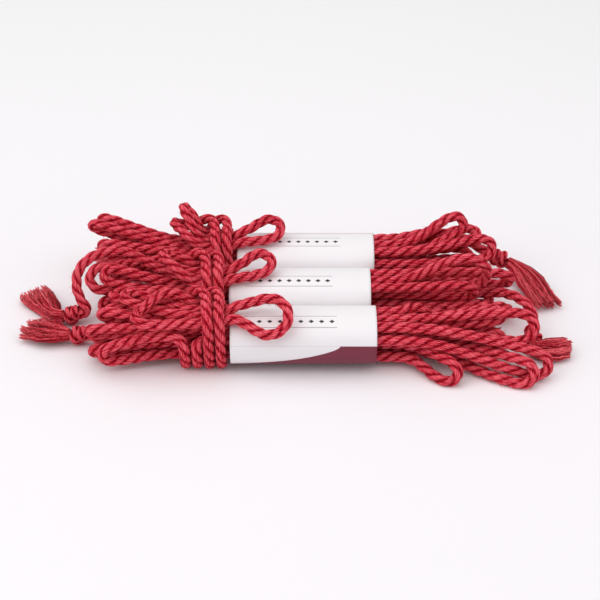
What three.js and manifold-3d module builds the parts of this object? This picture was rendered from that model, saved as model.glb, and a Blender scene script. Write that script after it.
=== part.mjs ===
// A set of three hanks of laid rope, each tied with a slipped bow and held by a paper band.
// Millimetres, +Z up. X runs along the hanks, and the near hank has the lowest Y.
import * as THREE from 'three';
import { mergeVertices } from 'three/addons/utils/BufferGeometryUtils.js';
import Module from 'manifold-3d';

const wasm = await Module();
wasm.setup();

// Rope
const ropeDiameter = 6;
const ropeGap = 0.5; // air between neighbouring strands
const ropeSides = 6;
const restingCut = 0.1; // share of the diameter that is flat where the rope lies on the floor
const cutGap = 0.3; // air where one stretch of a rope ends and the next begins

// Waist: the strands lie in four rows, three in each outer row and four in each inner row
const bandedSpread = 1.2; // how far the strands open out again inside the band
const wrapPitch = 7; // from one wrapping strand to the next
const wrapToBand = 2.4; // from the last wrapping strand to the edge of the band
const wrapToRuns = 4; // straight run left of the first wrapping strand
const archSpread = 0.6; // how far an arching leg of a bow leans out, as a share of its rise

// Paper band
const bandLength = 85;
const bandDepth = 36.6;
const bandHeight = 30;
const bandPaper = 0.3;
const bandRoundness = 2.3; // 2 is an ellipse, more is squarer
const bandTravel = 12; // how far a band can be slid along before the strands open too wide
const bandFacets = 40;

// Knots and tassels
const knotLength = 13;
const knotDiameter = 12.6;
const knotSides = 8;
const tasselSides = 9;
const tasselNeck = 5.6;
const tasselFlare = 14;
const tasselThickness = 5;

// Hanks
const hankGap = 3.8; // from one band to the next
const hankSpacing = bandDepth + hankGap;

// What lies below the floor is cut away with a slab
const slabWidth = 2000;
const slabDepth = 20;

// Pushing the strands clear of each other
const settleRounds = 160;
const settleMargin = 0.2; // so that the last round ends above the wanted gap

// Colours
const ropeColour = 0xb22234;
const tasselColour = 0xc23a48;
const bandColour = 0xf4eff1;

const ropeRadius = ropeDiameter / 2;
const pitch = ropeDiameter + ropeGap;
const innerRow = pitch / 2;
const outerRow = innerRow + pitch * Math.sin(Math.PI / 3);
const floorHeight = ropeRadius - ropeDiameter * restingCut; // centre of a strand on the floor
const bundleHeight = floorHeight + pitch + outerRow; // centre of the bundle
const laneHeight = bundleHeight + outerRow + pitch * Math.sin(Math.PI / 3); // legs of the bow

// Slots of the lower half of the bundle, in the order in which one half of the rope fills them.
// Each is next to the one before, and the upper half is its mirror image.
const slotOrder = [
  { across: 1, row: -outerRow },
  { across: 1.5, row: -innerRow },
  { across: 0.5, row: -innerRow },
  { across: 0, row: -outerRow },
  { across: -0.5, row: -innerRow },
  { across: -1, row: -outerRow },
  { across: -1.5, row: -innerRow },
];

// Outside the bundle, under the near leg of the bow, where the first wrap starts
const shoulderSlot = { across: -2, row: -outerRow };

// A bight is given by its tip: x, y from the middle of its hank, z, half its width, and its roll
// in degrees, and for a bow how far its two legs arch up. A tail is a list of points, x, y from
// the middle of its hank and z.
const hanks = [
  {
    name: 'front',
    y: -hankSpacing,
    bandLeft: -40.5,
    upperTailLeft: false,
    leftOfTailLeft: [[-122, 4, 14, 4.4, 0], [-123, -4, 8.5, 4.4, 0], [-116, -15, 13, 7, 0]],
    rightOfTailLeft: [[120, -2, 14, 6, 0], [136, -27, 3, 9, 0], [92, -26, 4, 8, 0]],
    leftOfTailRight: [[-114, 10, 25, 4.4, 0], [-117, 4, 31, 4.4, 0], [-124, -4, 22, 4.4, 0]],
    rightOfTailRight: [[120, 12, 25, 8, 0], [138, -1, 22, 9, 0], [145, -19, 8, 7, 0]],
    tailLeft: [[-84, 9, 8], [-104, 12, 6.6], [-119, 13.6, 6.6]],
    knotLeft: [-133, 14.7, 6.7],
    tasselLeft: [-167, 33.5, 4.5],
    tailRight: [[69, 14, 24], [80, 14.5, 14], [87, 13.5, 8.5]],
    knotRight: [98, 12.6, 6.9],
    tasselRight: [124, 12.4, 4.5],
    outerBow: [-95, -12, 36.5, 7.5, 0, 8],
    innerBow: [-104, 12.5, 36.5, 5.5, 0],
    releaseLoop: [-5, -13.5, 37, 12.6, 30],
  },
  {
    name: 'middle',
    y: 0,
    bandLeft: -42.5,
    upperTailLeft: true,
    leftOfTailLeft: [[-129, 5, 29, 8.5, -55], [-119, -2, 34, 5, 0], [-113, -10, 26, 4.4, 0]],
    rightOfTailLeft: [[130, 10, 20, 8, 0], [114, 1, 36, 14, -20], [106, -4, 24, 8, 0]],
    leftOfTailRight: [[-118, 10, 14, 4.4, 0], [-122, 0, 10, 4.4, 0], [-118, -9, 9, 4.4, 0]],
    rightOfTailRight: [[118, 12, 7, 7, 0], [128, -4, 10, 8, 0], [112, -14, 6, 7, 0]],
    tailLeft: [[-91, 15, 26], [-106, 17, 37], [-121, 14, 38], [-133, 10, 32], [-137, 5, 23],
      [-134, -2, 14.5], [-127.5, -5, 8.6]],
    knotLeft: [-139, -5, 6.8],
    tasselLeft: [-168, 24, 4.5],
    tailRight: [[82, 12, 8], [106, 12, 12], [124, 7, 17], [136, -3, 17.5], [141, -13, 13.5],
      [141, -20, 9]],
    knotRight: [139.7, -27.9, 6.9],
    tasselRight: [164, -36, 4.5],
    outerBow: [-83, 8, 42.5, 6.5, 12, 4, 3],
    innerBow: [-78, 6, 36, 4.4, 0],
    releaseLoop: [-16.5, 5, 40.5, 7.4, 25],
  },
  {
    name: 'back',
    y: hankSpacing,
    bandLeft: -39,
    upperTailLeft: false,
    leftOfTailLeft: [[-121, 7, 17, 4.6, 0], [-124, -2, 12, 4.4, 0], [-118, -11, 16, 6.5, 0]],
    rightOfTailLeft: [[110, 14, 8, 8, 0], [118, 2, 9, 7, 0], [112, -7, 15, 6, 0]],
    leftOfTailRight: [[-126, 15, 38, 5, 0], [-131, 7, 39, 4.6, 0], [-125, 0, 28, 4.6, 0]],
    rightOfTailRight: [[112, 13, 30, 7, 0], [103, 8, 41, 6, 0], [121, 1, 26, 7, 0]],
    tailLeft: [[-80, 14, 6.6], [-88, 20, 6.6]],
    knotLeft: [-102, 24, 6.7],
    tasselLeft: [-134, 25, 4.5],
    tailRight: [[84, 12, 31], [104, 11, 27], [115, 8.5, 20]],
    knotRight: [127, 6, 14.5],
    tasselRight: [151, -32, 4.5],
    outerBow: [-78, 10, 41, 4.4, 8, 4, 4],
    innerBow: [-74, 14, 48, 4.4, 8, 3, 3],
    releaseLoop: [-11, 3, 40.5, 7.6, 25],
  },
];

function vec(x, y, z) {
  return new THREE.Vector3(x, y, z);
}

// Points that are held keep their place when the strands are pushed clear of each other
function held(point) {
  return { point, held: true };
}

function loose(point) {
  return { point, held: false };
}

function slotAt(hank, slot, upper, spread, x) {
  const row = upper ? -slot.row : slot.row;
  return vec(x, hank.y + slot.across * pitch * spread, bundleHeight + row * spread);
}

// Places along X that a hank's waist is laid out by
function waistOf(hank) {
  const lastWrap = hank.bandLeft - wrapToBand - ropeRadius;
  const firstWrap = lastWrap - 3 * wrapPitch;
  return {
    firstWrap,
    lastWrap,
    left: firstWrap - wrapToRuns,
    right: lastWrap + ropeRadius,
    bandEnd: hank.bandLeft + bandLength + bandTravel + ropeRadius,
  };
}

// One bight: out along a leg, round a half circle at the tip and back along the other leg
function bight(hank, from, to, tipRow, legSteps) {
  const [tipX, tipY, tipZ, halfWidth, rollDegrees, firstArch = 0, secondArch = 0] = tipRow;
  const tip = vec(tipX, hank.y + tipY, tipZ);
  const edge = from.clone().add(to).multiplyScalar(0.5);
  const outward = tip.clone().sub(edge).normalize();
  const lateral = from.clone().sub(to);
  lateral.addScaledVector(outward, -lateral.dot(outward)).normalize();
  lateral.applyAxisAngle(outward, THREE.MathUtils.degToRad(rollDegrees));
  const centre = tip.clone().addScaledVector(outward, -halfWidth);
  const side = Math.sign(tipX - edge.x);
  const turnSteps = 4;
  const turn = [];
  for (let i = 0; i <= turnSteps; i += 1) {
    const angle = Math.PI * i / turnSteps;
    turn.push(centre.clone()
      .addScaledVector(lateral, halfWidth * Math.cos(angle))
      .addScaledVector(outward, halfWidth * Math.sin(angle)));
  }
  const leg = (start, end, rise, outer) => {
    const reach = start.distanceTo(end);
    const tangents = [vec(side * reach, 0, 0), outward.clone().multiplyScalar(reach)];
    const points = [];
    for (let i = 1; i <= legSteps; i += 1) {
      const t = i / (legSteps + 1);
      const point = hermite(start, end, tangents[0], tangents[1], t);
      point.addScaledVector(lateral, outer * archSpread * rise * Math.sin(Math.PI * t));
      point.z += rise * Math.sin(Math.PI * t);
      points.push(point);
    }
    return points;
  };
  return [...leg(from, turn[0], firstArch, 1), ...turn, ...leg(to, turn[turnSteps], secondArch, -1).reverse()];
}

function hermite(start, end, startTangent, endTangent, t) {
  const t2 = t * t;
  const t3 = t2 * t;
  return vec(0, 0, 0)
    .addScaledVector(start, 2 * t3 - 3 * t2 + 1)
    .addScaledVector(startTangent, t3 - 2 * t2 + t)
    .addScaledVector(end, 3 * t2 - 2 * t3)
    .addScaledVector(endTangent, t3 - t2);
}

// One corner of the turns round the waist: the strand keeps one pitch from the slot at the corner,
// and turns from one direction to the other, both given in degrees from the front (-Y) downwards
function wrapCorner(hank, across, height, fromDegrees, toDegrees, x, steps) {
  const points = [];
  const step = (toDegrees - fromDegrees) / steps;
  const reach = pitch / Math.cos(THREE.MathUtils.degToRad(step / 2));
  for (let i = 0; i < steps; i += 1) {
    const angle = THREE.MathUtils.degToRad(fromDegrees + step * (i + 0.5));
    points.push(vec(
      x,
      hank.y + across * pitch - reach * Math.cos(angle),
      height - reach * Math.sin(angle),
    ));
  }
  return points;
}

// Two turns of one strand round the waist. It starts at the top of the front side, goes down the
// front, under and up the back, crosses over the legs of the bow, and goes round once more.
function wrapTurns(hank, strand, startsHigh) {
  const waist = waistOf(hank);
  const first = waist.firstWrap + strand * wrapPitch;
  const second = first + 2 * wrapPitch;
  const lowest = bundleHeight - outerRow;
  const low = bundleHeight - innerRow;
  const high = bundleHeight + innerRow;
  const under = (x) => [
    ...wrapCorner(hank, -1.5, low, 0, 30, x, 1),
    ...wrapCorner(hank, -1, lowest, 30, 90, x, 2),
    ...wrapCorner(hank, 1, lowest, 90, 150, x, 2),
    ...wrapCorner(hank, 1.5, low, 150, 180, x, 1),
  ];
  const overTop = [
    ...wrapCorner(hank, 1.5, laneHeight, 180, 270, first, 2),
    ...wrapCorner(hank, -1.5, laneHeight, 270, 360, first, 2),
  ];
  const shares = [0.1, 0.95, 1, 1]; // of the way to the second turn
  overTop.forEach((point, i) => {
    point.x = first + (second - first) * shares[i];
  });
  return [
    ...(startsHigh ? wrapCorner(hank, -1.5, high, -30, 0, first, 1) : []).map(loose),
    ...under(first).map(held),
    ...overTop.map(loose),
    ...under(second).map(held),
    ...wrapCorner(hank, 1.5, high, 180, 210, second, 1).map(loose),
  ];
}

// The whole rope of one hank, as stretches that follow each other from its left end to its right end
function ropeOf(hank) {
  const waist = waistOf(hank);
  const place = ([x, y, z]) => vec(x, hank.y + y, z);
  const legSteps = { left: 2, right: 3 };

  // Half of the rope: its tail, its passes back and forth and the bights between them
  const half = (tailSide, upper, tail, leftTips, rightTips) => {
    const stations = {
      left: (slot) => slotAt(hank, slot, upper, 1, waist.left),
      mid: (slot) => slotAt(hank, slot, upper, 1, waist.right),
      right: (slot) => slotAt(hank, slot, upper, bandedSpread, waist.bandEnd),
    };
    const tailPoints = tail.map((row) => loose(place(row))).reverse();
    const runs = [];
    let side = tailSide;
    const tips = { left: [...leftTips], right: [...rightTips] };
    slotOrder.forEach((slot, i) => {
      const ordered = side === 'left' ? ['left', 'mid', 'right'] : ['right', 'mid', 'left'];
      const last = i === slotOrder.length - 1;
      if (last && tailSide === 'left') {
        return;
      }
      ordered.forEach((station) => runs.push(held(stations[station](slot))));
      side = side === 'left' ? 'right' : 'left';
      if (last) {
        runs.pop();
        runs.push(held(slotAt(hank, slot, upper, 1, waist.firstWrap + 2 * wrapPitch)));
        return;
      }
      const from = stations[side](slot);
      let to = stations[side](slotOrder[i + 1]);
      if (i === slotOrder.length - 2 && tailSide === 'left') {
        to = slotAt(hank, shoulderSlot, true, 1, waist.left - 2 * ropeDiameter);
      }
      const tip = tips[side].shift();
      runs.push(...bight(hank, from, to, tip, legSteps[side]).map(loose));
    });
    return { tailPoints, runs };
  };

  const fromLeft = half('left', hank.upperTailLeft, hank.tailLeft,
    hank.leftOfTailLeft, hank.rightOfTailLeft);
  const fromRight = half('right', !hank.upperTailLeft, hank.tailRight,
    hank.leftOfTailRight, hank.rightOfTailRight);

  const lane = (across, x, lift = 0) => vec(x, hank.y + across * pitch, laneHeight + lift);
  const { firstWrap, lastWrap } = waist;
  const laneLeft = firstWrap + 0.85 * wrapPitch;
  const overBand = bundleHeight + bandHeight / 2 + ropeRadius + ropeGap - laneHeight;
  const releaseFrom = hank.bandLeft + ropeRadius;
  const outer = bight(hank, lane(1.5, laneLeft), lane(-1.5, laneLeft), hank.outerBow, 2);
  const inner = bight(hank, lane(-0.5, laneLeft), lane(0.5, laneLeft), hank.innerBow, 2);
  const release = bight(hank, lane(-1.5, releaseFrom, overBand), lane(-0.5, releaseFrom, overBand),
    hank.releaseLoop, 1);
  const bow = [
    held(lane(1.5, firstWrap + 1.3 * wrapPitch)),
    held(lane(1.5, laneLeft)),
    ...outer.map(loose),
    held(lane(-1.5, laneLeft)),
    held(lane(-1.5, lastWrap)),
    loose(lane(-1.5, releaseFrom, overBand)),
    ...release.map(loose),
    loose(lane(-0.5, releaseFrom, overBand)),
    held(lane(-0.5, lastWrap)),
    held(lane(-0.5, laneLeft)),
    ...inner.map(loose),
    held(lane(0.5, laneLeft)),
    loose(lane(0.5, firstWrap + 2 * wrapPitch)),
  ];
  // The end of the second turn comes up the back, bends over its own shoulder and runs to its lane
  const dive = (strand, across) => {
    const x = firstWrap + (strand + 2) * wrapPitch;
    return [
      loose(vec(x, hank.y + 1.5 * pitch + 0.85 * pitch, laneHeight - 0.75 * pitch)),
      loose(vec(x - 0.12 * pitch, hank.y + (across + 0.55) * pitch, laneHeight + 0.12 * pitch)),
    ];
  };
  const shoulder = slotAt(hank, shoulderSlot, true, 1, firstWrap - 0.8 * ropeDiameter);
  const lastSlot = slotOrder[slotOrder.length - 1];
  const emerging = slotAt(hank, lastSlot, !hank.upperTailLeft, 1, firstWrap + wrapPitch)
    .add(vec(ropeRadius, -0.55 * pitch, 0));
  const wrapsLeft = [
    loose(shoulder),
    ...wrapTurns(hank, 0, true),
    ...dive(0, 1.5),
  ];
  const wrapsRight = [
    loose(emerging),
    ...wrapTurns(hank, 1, !hank.upperTailLeft),
    ...dive(1, 0.9),
  ];
  return [
    { name: 'left_tail', points: fromLeft.tailPoints },
    { name: hank.upperTailLeft ? 'upper_runs' : 'lower_runs', points: fromLeft.runs },
    { name: 'first_wraps', points: wrapsLeft },
    { name: 'slipped_bow', points: bow },
    { name: 'second_wraps', points: wrapsRight.reverse() },
    { name: hank.upperTailLeft ? 'lower_runs' : 'upper_runs', points: fromRight.runs.reverse() },
    { name: 'right_tail', points: fromRight.tailPoints.reverse() },
  ];
}

// Where a hank's knot and tassel lie: the rope enters one face of the knot, the tassel leaves the other
function endOf(hank, knotRow, tasselRow, tail) {
  const place = ([x, y, z]) => vec(x, hank.y + y, z);
  const centre = place(knotRow);
  const entry = place(tail).sub(centre).normalize();
  const face = centre.clone().addScaledVector(entry, knotLength / 2 + cutGap / 2);
  const neck = centre.clone().addScaledVector(entry, -knotLength / 2);
  return { centre, entry, face, neck, tip: place(tasselRow) };
}

// The two points where two segments come closest, as shares of each segment
function closestShares(a, b, c, d) {
  const first = b.clone().sub(a);
  const second = d.clone().sub(c);
  const between = a.clone().sub(c);
  const aa = first.dot(first);
  const ee = second.dot(second);
  const bb = first.dot(second);
  const cc = first.dot(between);
  const ff = second.dot(between);
  const denominator = aa * ee - bb * bb;
  const clamp = (value) => Math.min(1, Math.max(0, value));
  let s = denominator > 1e-9 ? clamp((bb * ff - cc * ee) / denominator) : 0.5;
  const t = clamp((bb * s + ff) / ee);
  s = clamp((bb * t - cc) / aa);
  return [s, t];
}

// Strands, knots, tassels and bands as segments with a radius, for keeping them clear of each other
function segmentsOf(routes) {
  const points = [];
  const segments = [];
  const add = (rope, nodes, radius, arcStart = 0) => {
    let arc = arcStart;
    nodes.forEach(({ point, held }, i) => {
      points.push({ place: point, held });
      if (i > 0) {
        const length = point.distanceTo(nodes[i - 1].point);
        const index = points.length - 1;
        segments.push({ rope, radius, from: index - 1, to: index, arcStart: arc, arcEnd: arc + length });
        arc += length;
      }
    });
    return arc;
  };
  routes.forEach(({ hank, stretches, ends }, i) => {
    const total = add(`rope ${i}`, stretches.flatMap((stretch) => stretch.points), ropeRadius);
    ends.forEach((end, k) => {
      const half = (knotLength - knotDiameter) / 2 + 0.1;
      const body = [half, -half].map((along) => ({
        point: end.centre.clone().addScaledVector(end.entry, along),
        held: true,
      }));
      const beyond = end.neck.distanceTo(end.tip);
      add(`rope ${i}`, body, knotDiameter / 2, k === 0 ? -1 : total);
      const sideways = vec(0, 0, 1).cross(end.tip.clone().sub(end.neck)).normalize();
      [-0.5, 0, 0.5].forEach((share) => {
        const width = share * (tasselFlare - tasselThickness);
        const tassel = [end.neck, end.tip].map((point) => ({
          point: point.clone().addScaledVector(sideways, width),
          held: true,
        }));
        add(`rope ${i}`, tassel, tasselThickness / 2, k === 0 ? -1 - beyond : total + 1);
      });
    });
    bandOutline(hank, 0).forEach(([y, z]) => {
      const line = [hank.bandLeft, hank.bandLeft + bandLength].map((x) => ({
        point: vec(x, y, z),
        held: true,
      }));
      add(`band ${i}`, line, 0);
    });
  });
  return { points, segments };
}

// Two segments count as neighbours of one rope where the rope bends from one into the other
function canTouch(a, b) {
  if (a.rope !== b.rope) {
    return true;
  }
  return Math.max(a.arcStart, b.arcStart) - Math.min(a.arcEnd, b.arcEnd) > 1.5 * pitch;
}

function nearPairs(points, segments, reach) {
  const boxes = segments.map(({ from, to }) => new THREE.Box3()
    .setFromPoints([points[from].place, points[to].place]).expandByScalar(reach / 2));
  const pairs = [];
  for (let i = 0; i < segments.length; i += 1) {
    for (let j = i + 1; j < segments.length; j += 1) {
      const a = segments[i];
      const b = segments[j];
      const fixed = [a.from, a.to, b.from, b.to].every((index) => points[index].held);
      if (!fixed && boxes[i].intersectsBox(boxes[j]) && canTouch(a, b)) {
        pairs.push([a, b]);
      }
    }
  }
  return pairs;
}

// Pushes the loose points until no strand is closer to another than the rope allows. The shifts are
// spread along each rope, so that a strand gives way as a whole and keeps its curve.
function settle(routes) {
  const { points, segments } = segmentsOf(routes);
  const start = points.map(({ place }) => place.clone());
  let pairs = [];
  for (let round = 0; round < settleRounds; round += 1) {
    if (round % 10 === 0) {
      pairs = nearPairs(points, segments, 2 * pitch);
    }
    const pushes = points.map(() => ({ sum: vec(0, 0, 0), weight: 0 }));
    pairs.forEach(([a, b]) => {
      const ends = [points[a.from], points[a.to], points[b.from], points[b.to]];
      const [s, t] = closestShares(...ends.map(({ place }) => place));
      const onA = ends[0].place.clone().lerp(ends[1].place, s);
      const onB = ends[2].place.clone().lerp(ends[3].place, t);
      const away = onA.sub(onB);
      const distance = Math.max(away.length(), 1e-6);
      const lack = a.radius + b.radius + ropeGap + settleMargin - distance;
      if (lack <= 0) {
        return;
      }
      away.multiplyScalar(1 / distance);
      const shares = [1 - s, s, -(1 - t), -t];
      const mobility = ends.map(({ held }) => (held ? 0 : 1));
      const total = shares.reduce((sum, share, k) => sum + share * share * mobility[k], 0);
      if (total < 0.02) {
        return;
      }
      [a.from, a.to, b.from, b.to].forEach((index, k) => {
        if (mobility[k] > 0 && Math.abs(shares[k]) > 1e-6) {
          const size = Math.abs(shares[k]);
          pushes[index].sum.addScaledVector(away, lack * shares[k] / Math.max(total, 0.4) * size);
          pushes[index].weight += size;
        }
      });
    });
    points.forEach((point, i) => {
      if (!point.held && pushes[i].weight > 0) {
        point.place.addScaledVector(pushes[i].sum, 1 / pushes[i].weight);
      }
    });
    routes.forEach(keepBowOutsideBand);
    const ease = round < settleRounds * 0.7 ? 0.25 : 0;
    const shifts = points.map(({ place }, i) => place.clone().sub(start[i]));
    points.forEach((point, i) => {
      if (point.held) {
        return;
      }
      const mean = shifts[i - 1].clone().add(shifts[i + 1]).multiplyScalar(0.5);
      point.place.copy(start[i]).add(shifts[i].clone().lerp(mean, ease));
      point.place.z = Math.max(point.place.z, floorHeight);
    });
  }
  return leastGap(points, segments);
}

// The release loop lies over its band, so its points are lifted out of the band's outline
function keepBowOutsideBand({ hank, stretches }) {
  const clear = ropeRadius + ropeGap;
  const bow = stretches.find(({ name }) => name === 'slipped_bow');
  bow.points.filter(({ point, held }) => !held && point.x > hank.bandLeft).forEach(({ point }) => {
    const across = Math.abs(point.y - hank.y) / (bandDepth / 2 + clear);
    const up = Math.abs(point.z - bundleHeight) / (bandHeight / 2 + clear);
    const reach = (across ** bandRoundness + up ** bandRoundness) ** (1 / bandRoundness);
    if (reach < 1) {
      point.y = hank.y + (point.y - hank.y) / reach;
      point.z = bundleHeight + (point.z - bundleHeight) / reach;
    }
  });
}

function leastGap(points, segments) {
  let least = Infinity;
  nearPairs(points, segments, 2 * pitch).forEach(([a, b]) => {
    const ends = [a.from, a.to, b.from, b.to].map((index) => points[index].place);
    const [s, t] = closestShares(...ends);
    const distance = ends[0].clone().lerp(ends[1], s).distanceTo(ends[2].clone().lerp(ends[3], t));
    least = Math.min(least, distance - a.radius - b.radius);
  });
  return least;
}

// Band
function bandOutline(hank, inset) {
  const outline = [];
  for (let i = 0; i < bandFacets; i += 1) {
    const angle = 2 * Math.PI * i / bandFacets;
    const power = 2 / bandRoundness;
    const across = Math.sign(Math.cos(angle)) * Math.abs(Math.cos(angle)) ** power;
    const up = Math.sign(Math.sin(angle)) * Math.abs(Math.sin(angle)) ** power;
    outline.push([
      hank.y + across * (bandDepth / 2 - inset),
      bundleHeight + up * (bandHeight / 2 - inset),
    ]);
  }
  return outline;
}

function bandGeometry(hank) {
  const shape = new THREE.Shape(bandOutline(hank, 0).map(([y, z]) => new THREE.Vector2(y, z)));
  const inner = bandOutline(hank, bandPaper).map(([y, z]) => new THREE.Vector2(y, z));
  shape.holes.push(new THREE.Path(inner));
  const geometry = new THREE.ExtrudeGeometry(shape, { depth: bandLength, bevelEnabled: false, steps: 1 });
  // the outline's own X and Y become Y and Z, and its depth runs along X
  geometry.applyMatrix4(new THREE.Matrix4().set(
    0, 0, 1, hank.bandLeft,
    1, 0, 0, 0,
    0, 1, 0, 0,
    0, 0, 0, 1,
  ));
  return closed(geometry);
}

function closed(geometry) {
  geometry.deleteAttribute('normal');
  geometry.deleteAttribute('uv');
  return mergeVertices(geometry, 1e-4);
}

// A closed solid through rings of points, with a flat end at each end
function skinRings(rings) {
  const sides = rings[0].length;
  const positions = rings.flat().flatMap((point) => point.toArray());
  const index = [];
  for (let i = 0; i + 1 < rings.length; i += 1) {
    for (let k = 0; k < sides; k += 1) {
      const a = i * sides + k;
      const b = i * sides + (k + 1) % sides;
      index.push(a, b, b + sides, a, b + sides, a + sides);
    }
  }
  const lastRing = (rings.length - 1) * sides;
  for (let k = 1; k + 1 < sides; k += 1) {
    index.push(0, k + 1, k);
    index.push(lastRing, lastRing + k, lastRing + k + 1);
  }
  const geometry = new THREE.BufferGeometry();
  geometry.setAttribute('position', new THREE.Float32BufferAttribute(positions, 3));
  geometry.setIndex(index);
  return geometry;
}

// The direction of a path at each of its points, halfway between the segments that meet there
function directionsOf(path) {
  return path.map((point, i) => {
    const incoming = point.clone().sub(path[Math.max(i - 1, 0)]).normalize();
    const outgoing = path[Math.min(i + 1, path.length - 1)].clone().sub(point).normalize();
    return incoming.add(outgoing).normalize();
  });
}

// Rings of a section that is carried along a path. It doesn't twist, and a level one stays level.
// The sizes are half the width and half the height of the section at each point.
function carriedRings(path, directions, sides, sizes, level) {
  const rings = [];
  let across = null;
  path.forEach((point, i) => {
    const along = directions[i];
    if (across === null || level) {
      across = vec(0, 0, 1).cross(along);
      if (across.length() < 0.1) {
        across = vec(1, 0, 0).cross(along);
      }
    }
    across.addScaledVector(along, -across.dot(along)).normalize();
    const lift = along.clone().cross(across);
    const [halfAcross, halfUp] = sizes[i];
    const ring = [];
    for (let k = 0; k < sides; k += 1) {
      const angle = 2 * Math.PI * k / sides;
      ring.push(point.clone()
        .addScaledVector(across, halfAcross * Math.cos(angle))
        .addScaledVector(lift, halfUp * Math.sin(angle)));
    }
    rings.push(ring);
  });
  return rings;
}

// A stretch of rope from one point of its route to another, cut square to the rope at both ends
function ropeGeometry(path, directions) {
  const trimmed = path.map((point) => point.clone());
  const last = trimmed.length - 1;
  trimmed[0].addScaledVector(directions[0], cutGap / 2);
  trimmed[last].addScaledVector(directions[last], -cutGap / 2);
  const sizes = trimmed.map(() => [ropeRadius, ropeRadius]);
  return skinRings(carriedRings(trimmed, directions, ropeSides, sizes, false));
}

// An overhand knot seen as its outer shape, two shoulders with a waist between them
function knotGeometry(end) {
  const half = [[0.04, 0.9], [0.24, 1], [0.42, 0.82], [0.5, 0.52]]; // along, across
  const profile = [...half.map(([along, across]) => [-along, across]).reverse(), ...half];
  const path = profile.map(([along]) => end.centre.clone().addScaledVector(end.entry, along * knotLength));
  const sizes = profile.map(([, across]) => [across * knotDiameter / 2, across * knotDiameter / 2]);
  return skinRings(carriedRings(path, directionsOf(path), knotSides, sizes, false));
}

// The rope's end teased out beyond its knot: a neck that opens into a flat fan
function tasselGeometry(end) {
  const away = end.entry.clone().negate();
  const start = end.neck.clone().addScaledVector(away, cutGap);
  const reach = start.distanceTo(end.tip);
  const curve = new THREE.CubicBezierCurve3(
    start,
    start.clone().addScaledVector(away, reach * 0.35),
    end.tip.clone().lerp(start, 0.35),
    end.tip,
  );
  const neck = tasselNeck / 2;
  const size = (t) => {
    const open = Math.min(1, t * 1.6);
    const taper = t > 0.8 ? 1 - (t - 0.8) * 1.6 : 1;
    return [
      (neck + (tasselFlare / 2 - neck) * open) * taper,
      (neck + (tasselThickness / 2 - neck) * open) * taper,
    ];
  };
  const path = curve.getPoints(5);
  const directions = directionsOf(path);
  directions[0].copy(away);
  const sizes = path.map((point, i) => size(i / (path.length - 1)));
  return skinRings(carriedRings(path, directions, tasselSides, sizes, true));
}

// Cuts away what lies below the floor, so that the rope has real flats to stand on
function cutAtFloor(geometry) {
  geometry.computeBoundingBox();
  const box = geometry.boundingBox;
  if (box.min.z >= 0) {
    return geometry;
  }
  const slab = new THREE.BoxGeometry(slabWidth, slabWidth, slabDepth);
  slab.translate(0, 0, -slabDepth / 2);
  const cut = solidOf(geometry).subtract(solidOf(closed(slab)));
  const mesh = cut.getMesh();
  const result = new THREE.BufferGeometry();
  const corners = [];
  for (let i = 0; i < mesh.numVert; i += 1) {
    corners.push(...mesh.position(i));
  }
  result.setAttribute('position', new THREE.Float32BufferAttribute(corners, 3));
  result.setIndex(Array.from(mesh.triVerts));
  return result;
}

function solidOf(geometry) {
  return new wasm.Manifold(new wasm.Mesh({
    numProp: 3,
    vertProperties: new Float32Array(geometry.getAttribute('position').array),
    triVerts: new Uint32Array(geometry.getIndex().array),
  }));
}

function material(colour, roughness) {
  return new THREE.MeshStandardMaterial({ color: colour, roughness, metalness: 0 });
}

const routes = hanks.map((hank) => {
  const stretches = ropeOf(hank);
  const ends = [
    endOf(hank, hank.knotLeft, hank.tasselLeft, hank.tailLeft[hank.tailLeft.length - 1]),
    endOf(hank, hank.knotRight, hank.tasselRight, hank.tailRight[hank.tailRight.length - 1]),
  ];
  stretches[0].points.unshift({ point: ends[0].face.clone(), held: true });
  stretches[stretches.length - 1].points.push({ point: ends[1].face.clone(), held: true });
  return { hank, stretches, ends };
});
console.log(`least gap between strands ${settle(routes).toFixed(3)} mm`);

const set = new THREE.Group();
const addPiece = (name, geometry, finish) => {
  const piece = new THREE.Mesh(geometry, finish);
  piece.name = name;
  set.add(piece);
};
routes.forEach(({ hank, stretches, ends }) => {
  const route = stretches.flatMap((stretch) => stretch.points.map(({ point }) => point));
  const directions = directionsOf(route);
  directions[0].copy(ends[0].entry);
  directions[directions.length - 1].copy(ends[1].entry).negate();
  let first = 0;
  stretches.forEach((stretch) => {
    const after = first + stretch.points.length + 1;
    const geometry = ropeGeometry(route.slice(first, after), directions.slice(first, after));
    addPiece(`${hank.name}_${stretch.name}`, cutAtFloor(geometry), material(ropeColour, 0.9));
    first = after - 1;
  });
  ['left', 'right'].forEach((side, i) => {
    const knot = cutAtFloor(knotGeometry(ends[i]));
    addPiece(`${hank.name}_${side}_knot`, knot, material(ropeColour, 0.9));
    const tassel = cutAtFloor(tasselGeometry(ends[i]));
    addPiece(`${hank.name}_${side}_tassel`, tassel, material(tasselColour, 0.95));
  });
  addPiece(`${hank.name}_band`, bandGeometry(hank), material(bandColour, 0.6));
});

// The origin is under the middle of the whole set, on the surface that it lies on
const box = new THREE.Box3().setFromObject(set);
set.children.forEach((piece) => {
  piece.position.set(-(box.min.x + box.max.x) / 2, -(box.min.y + box.max.y) / 2, -box.min.z);
});

export default set;
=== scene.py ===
import math

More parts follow.
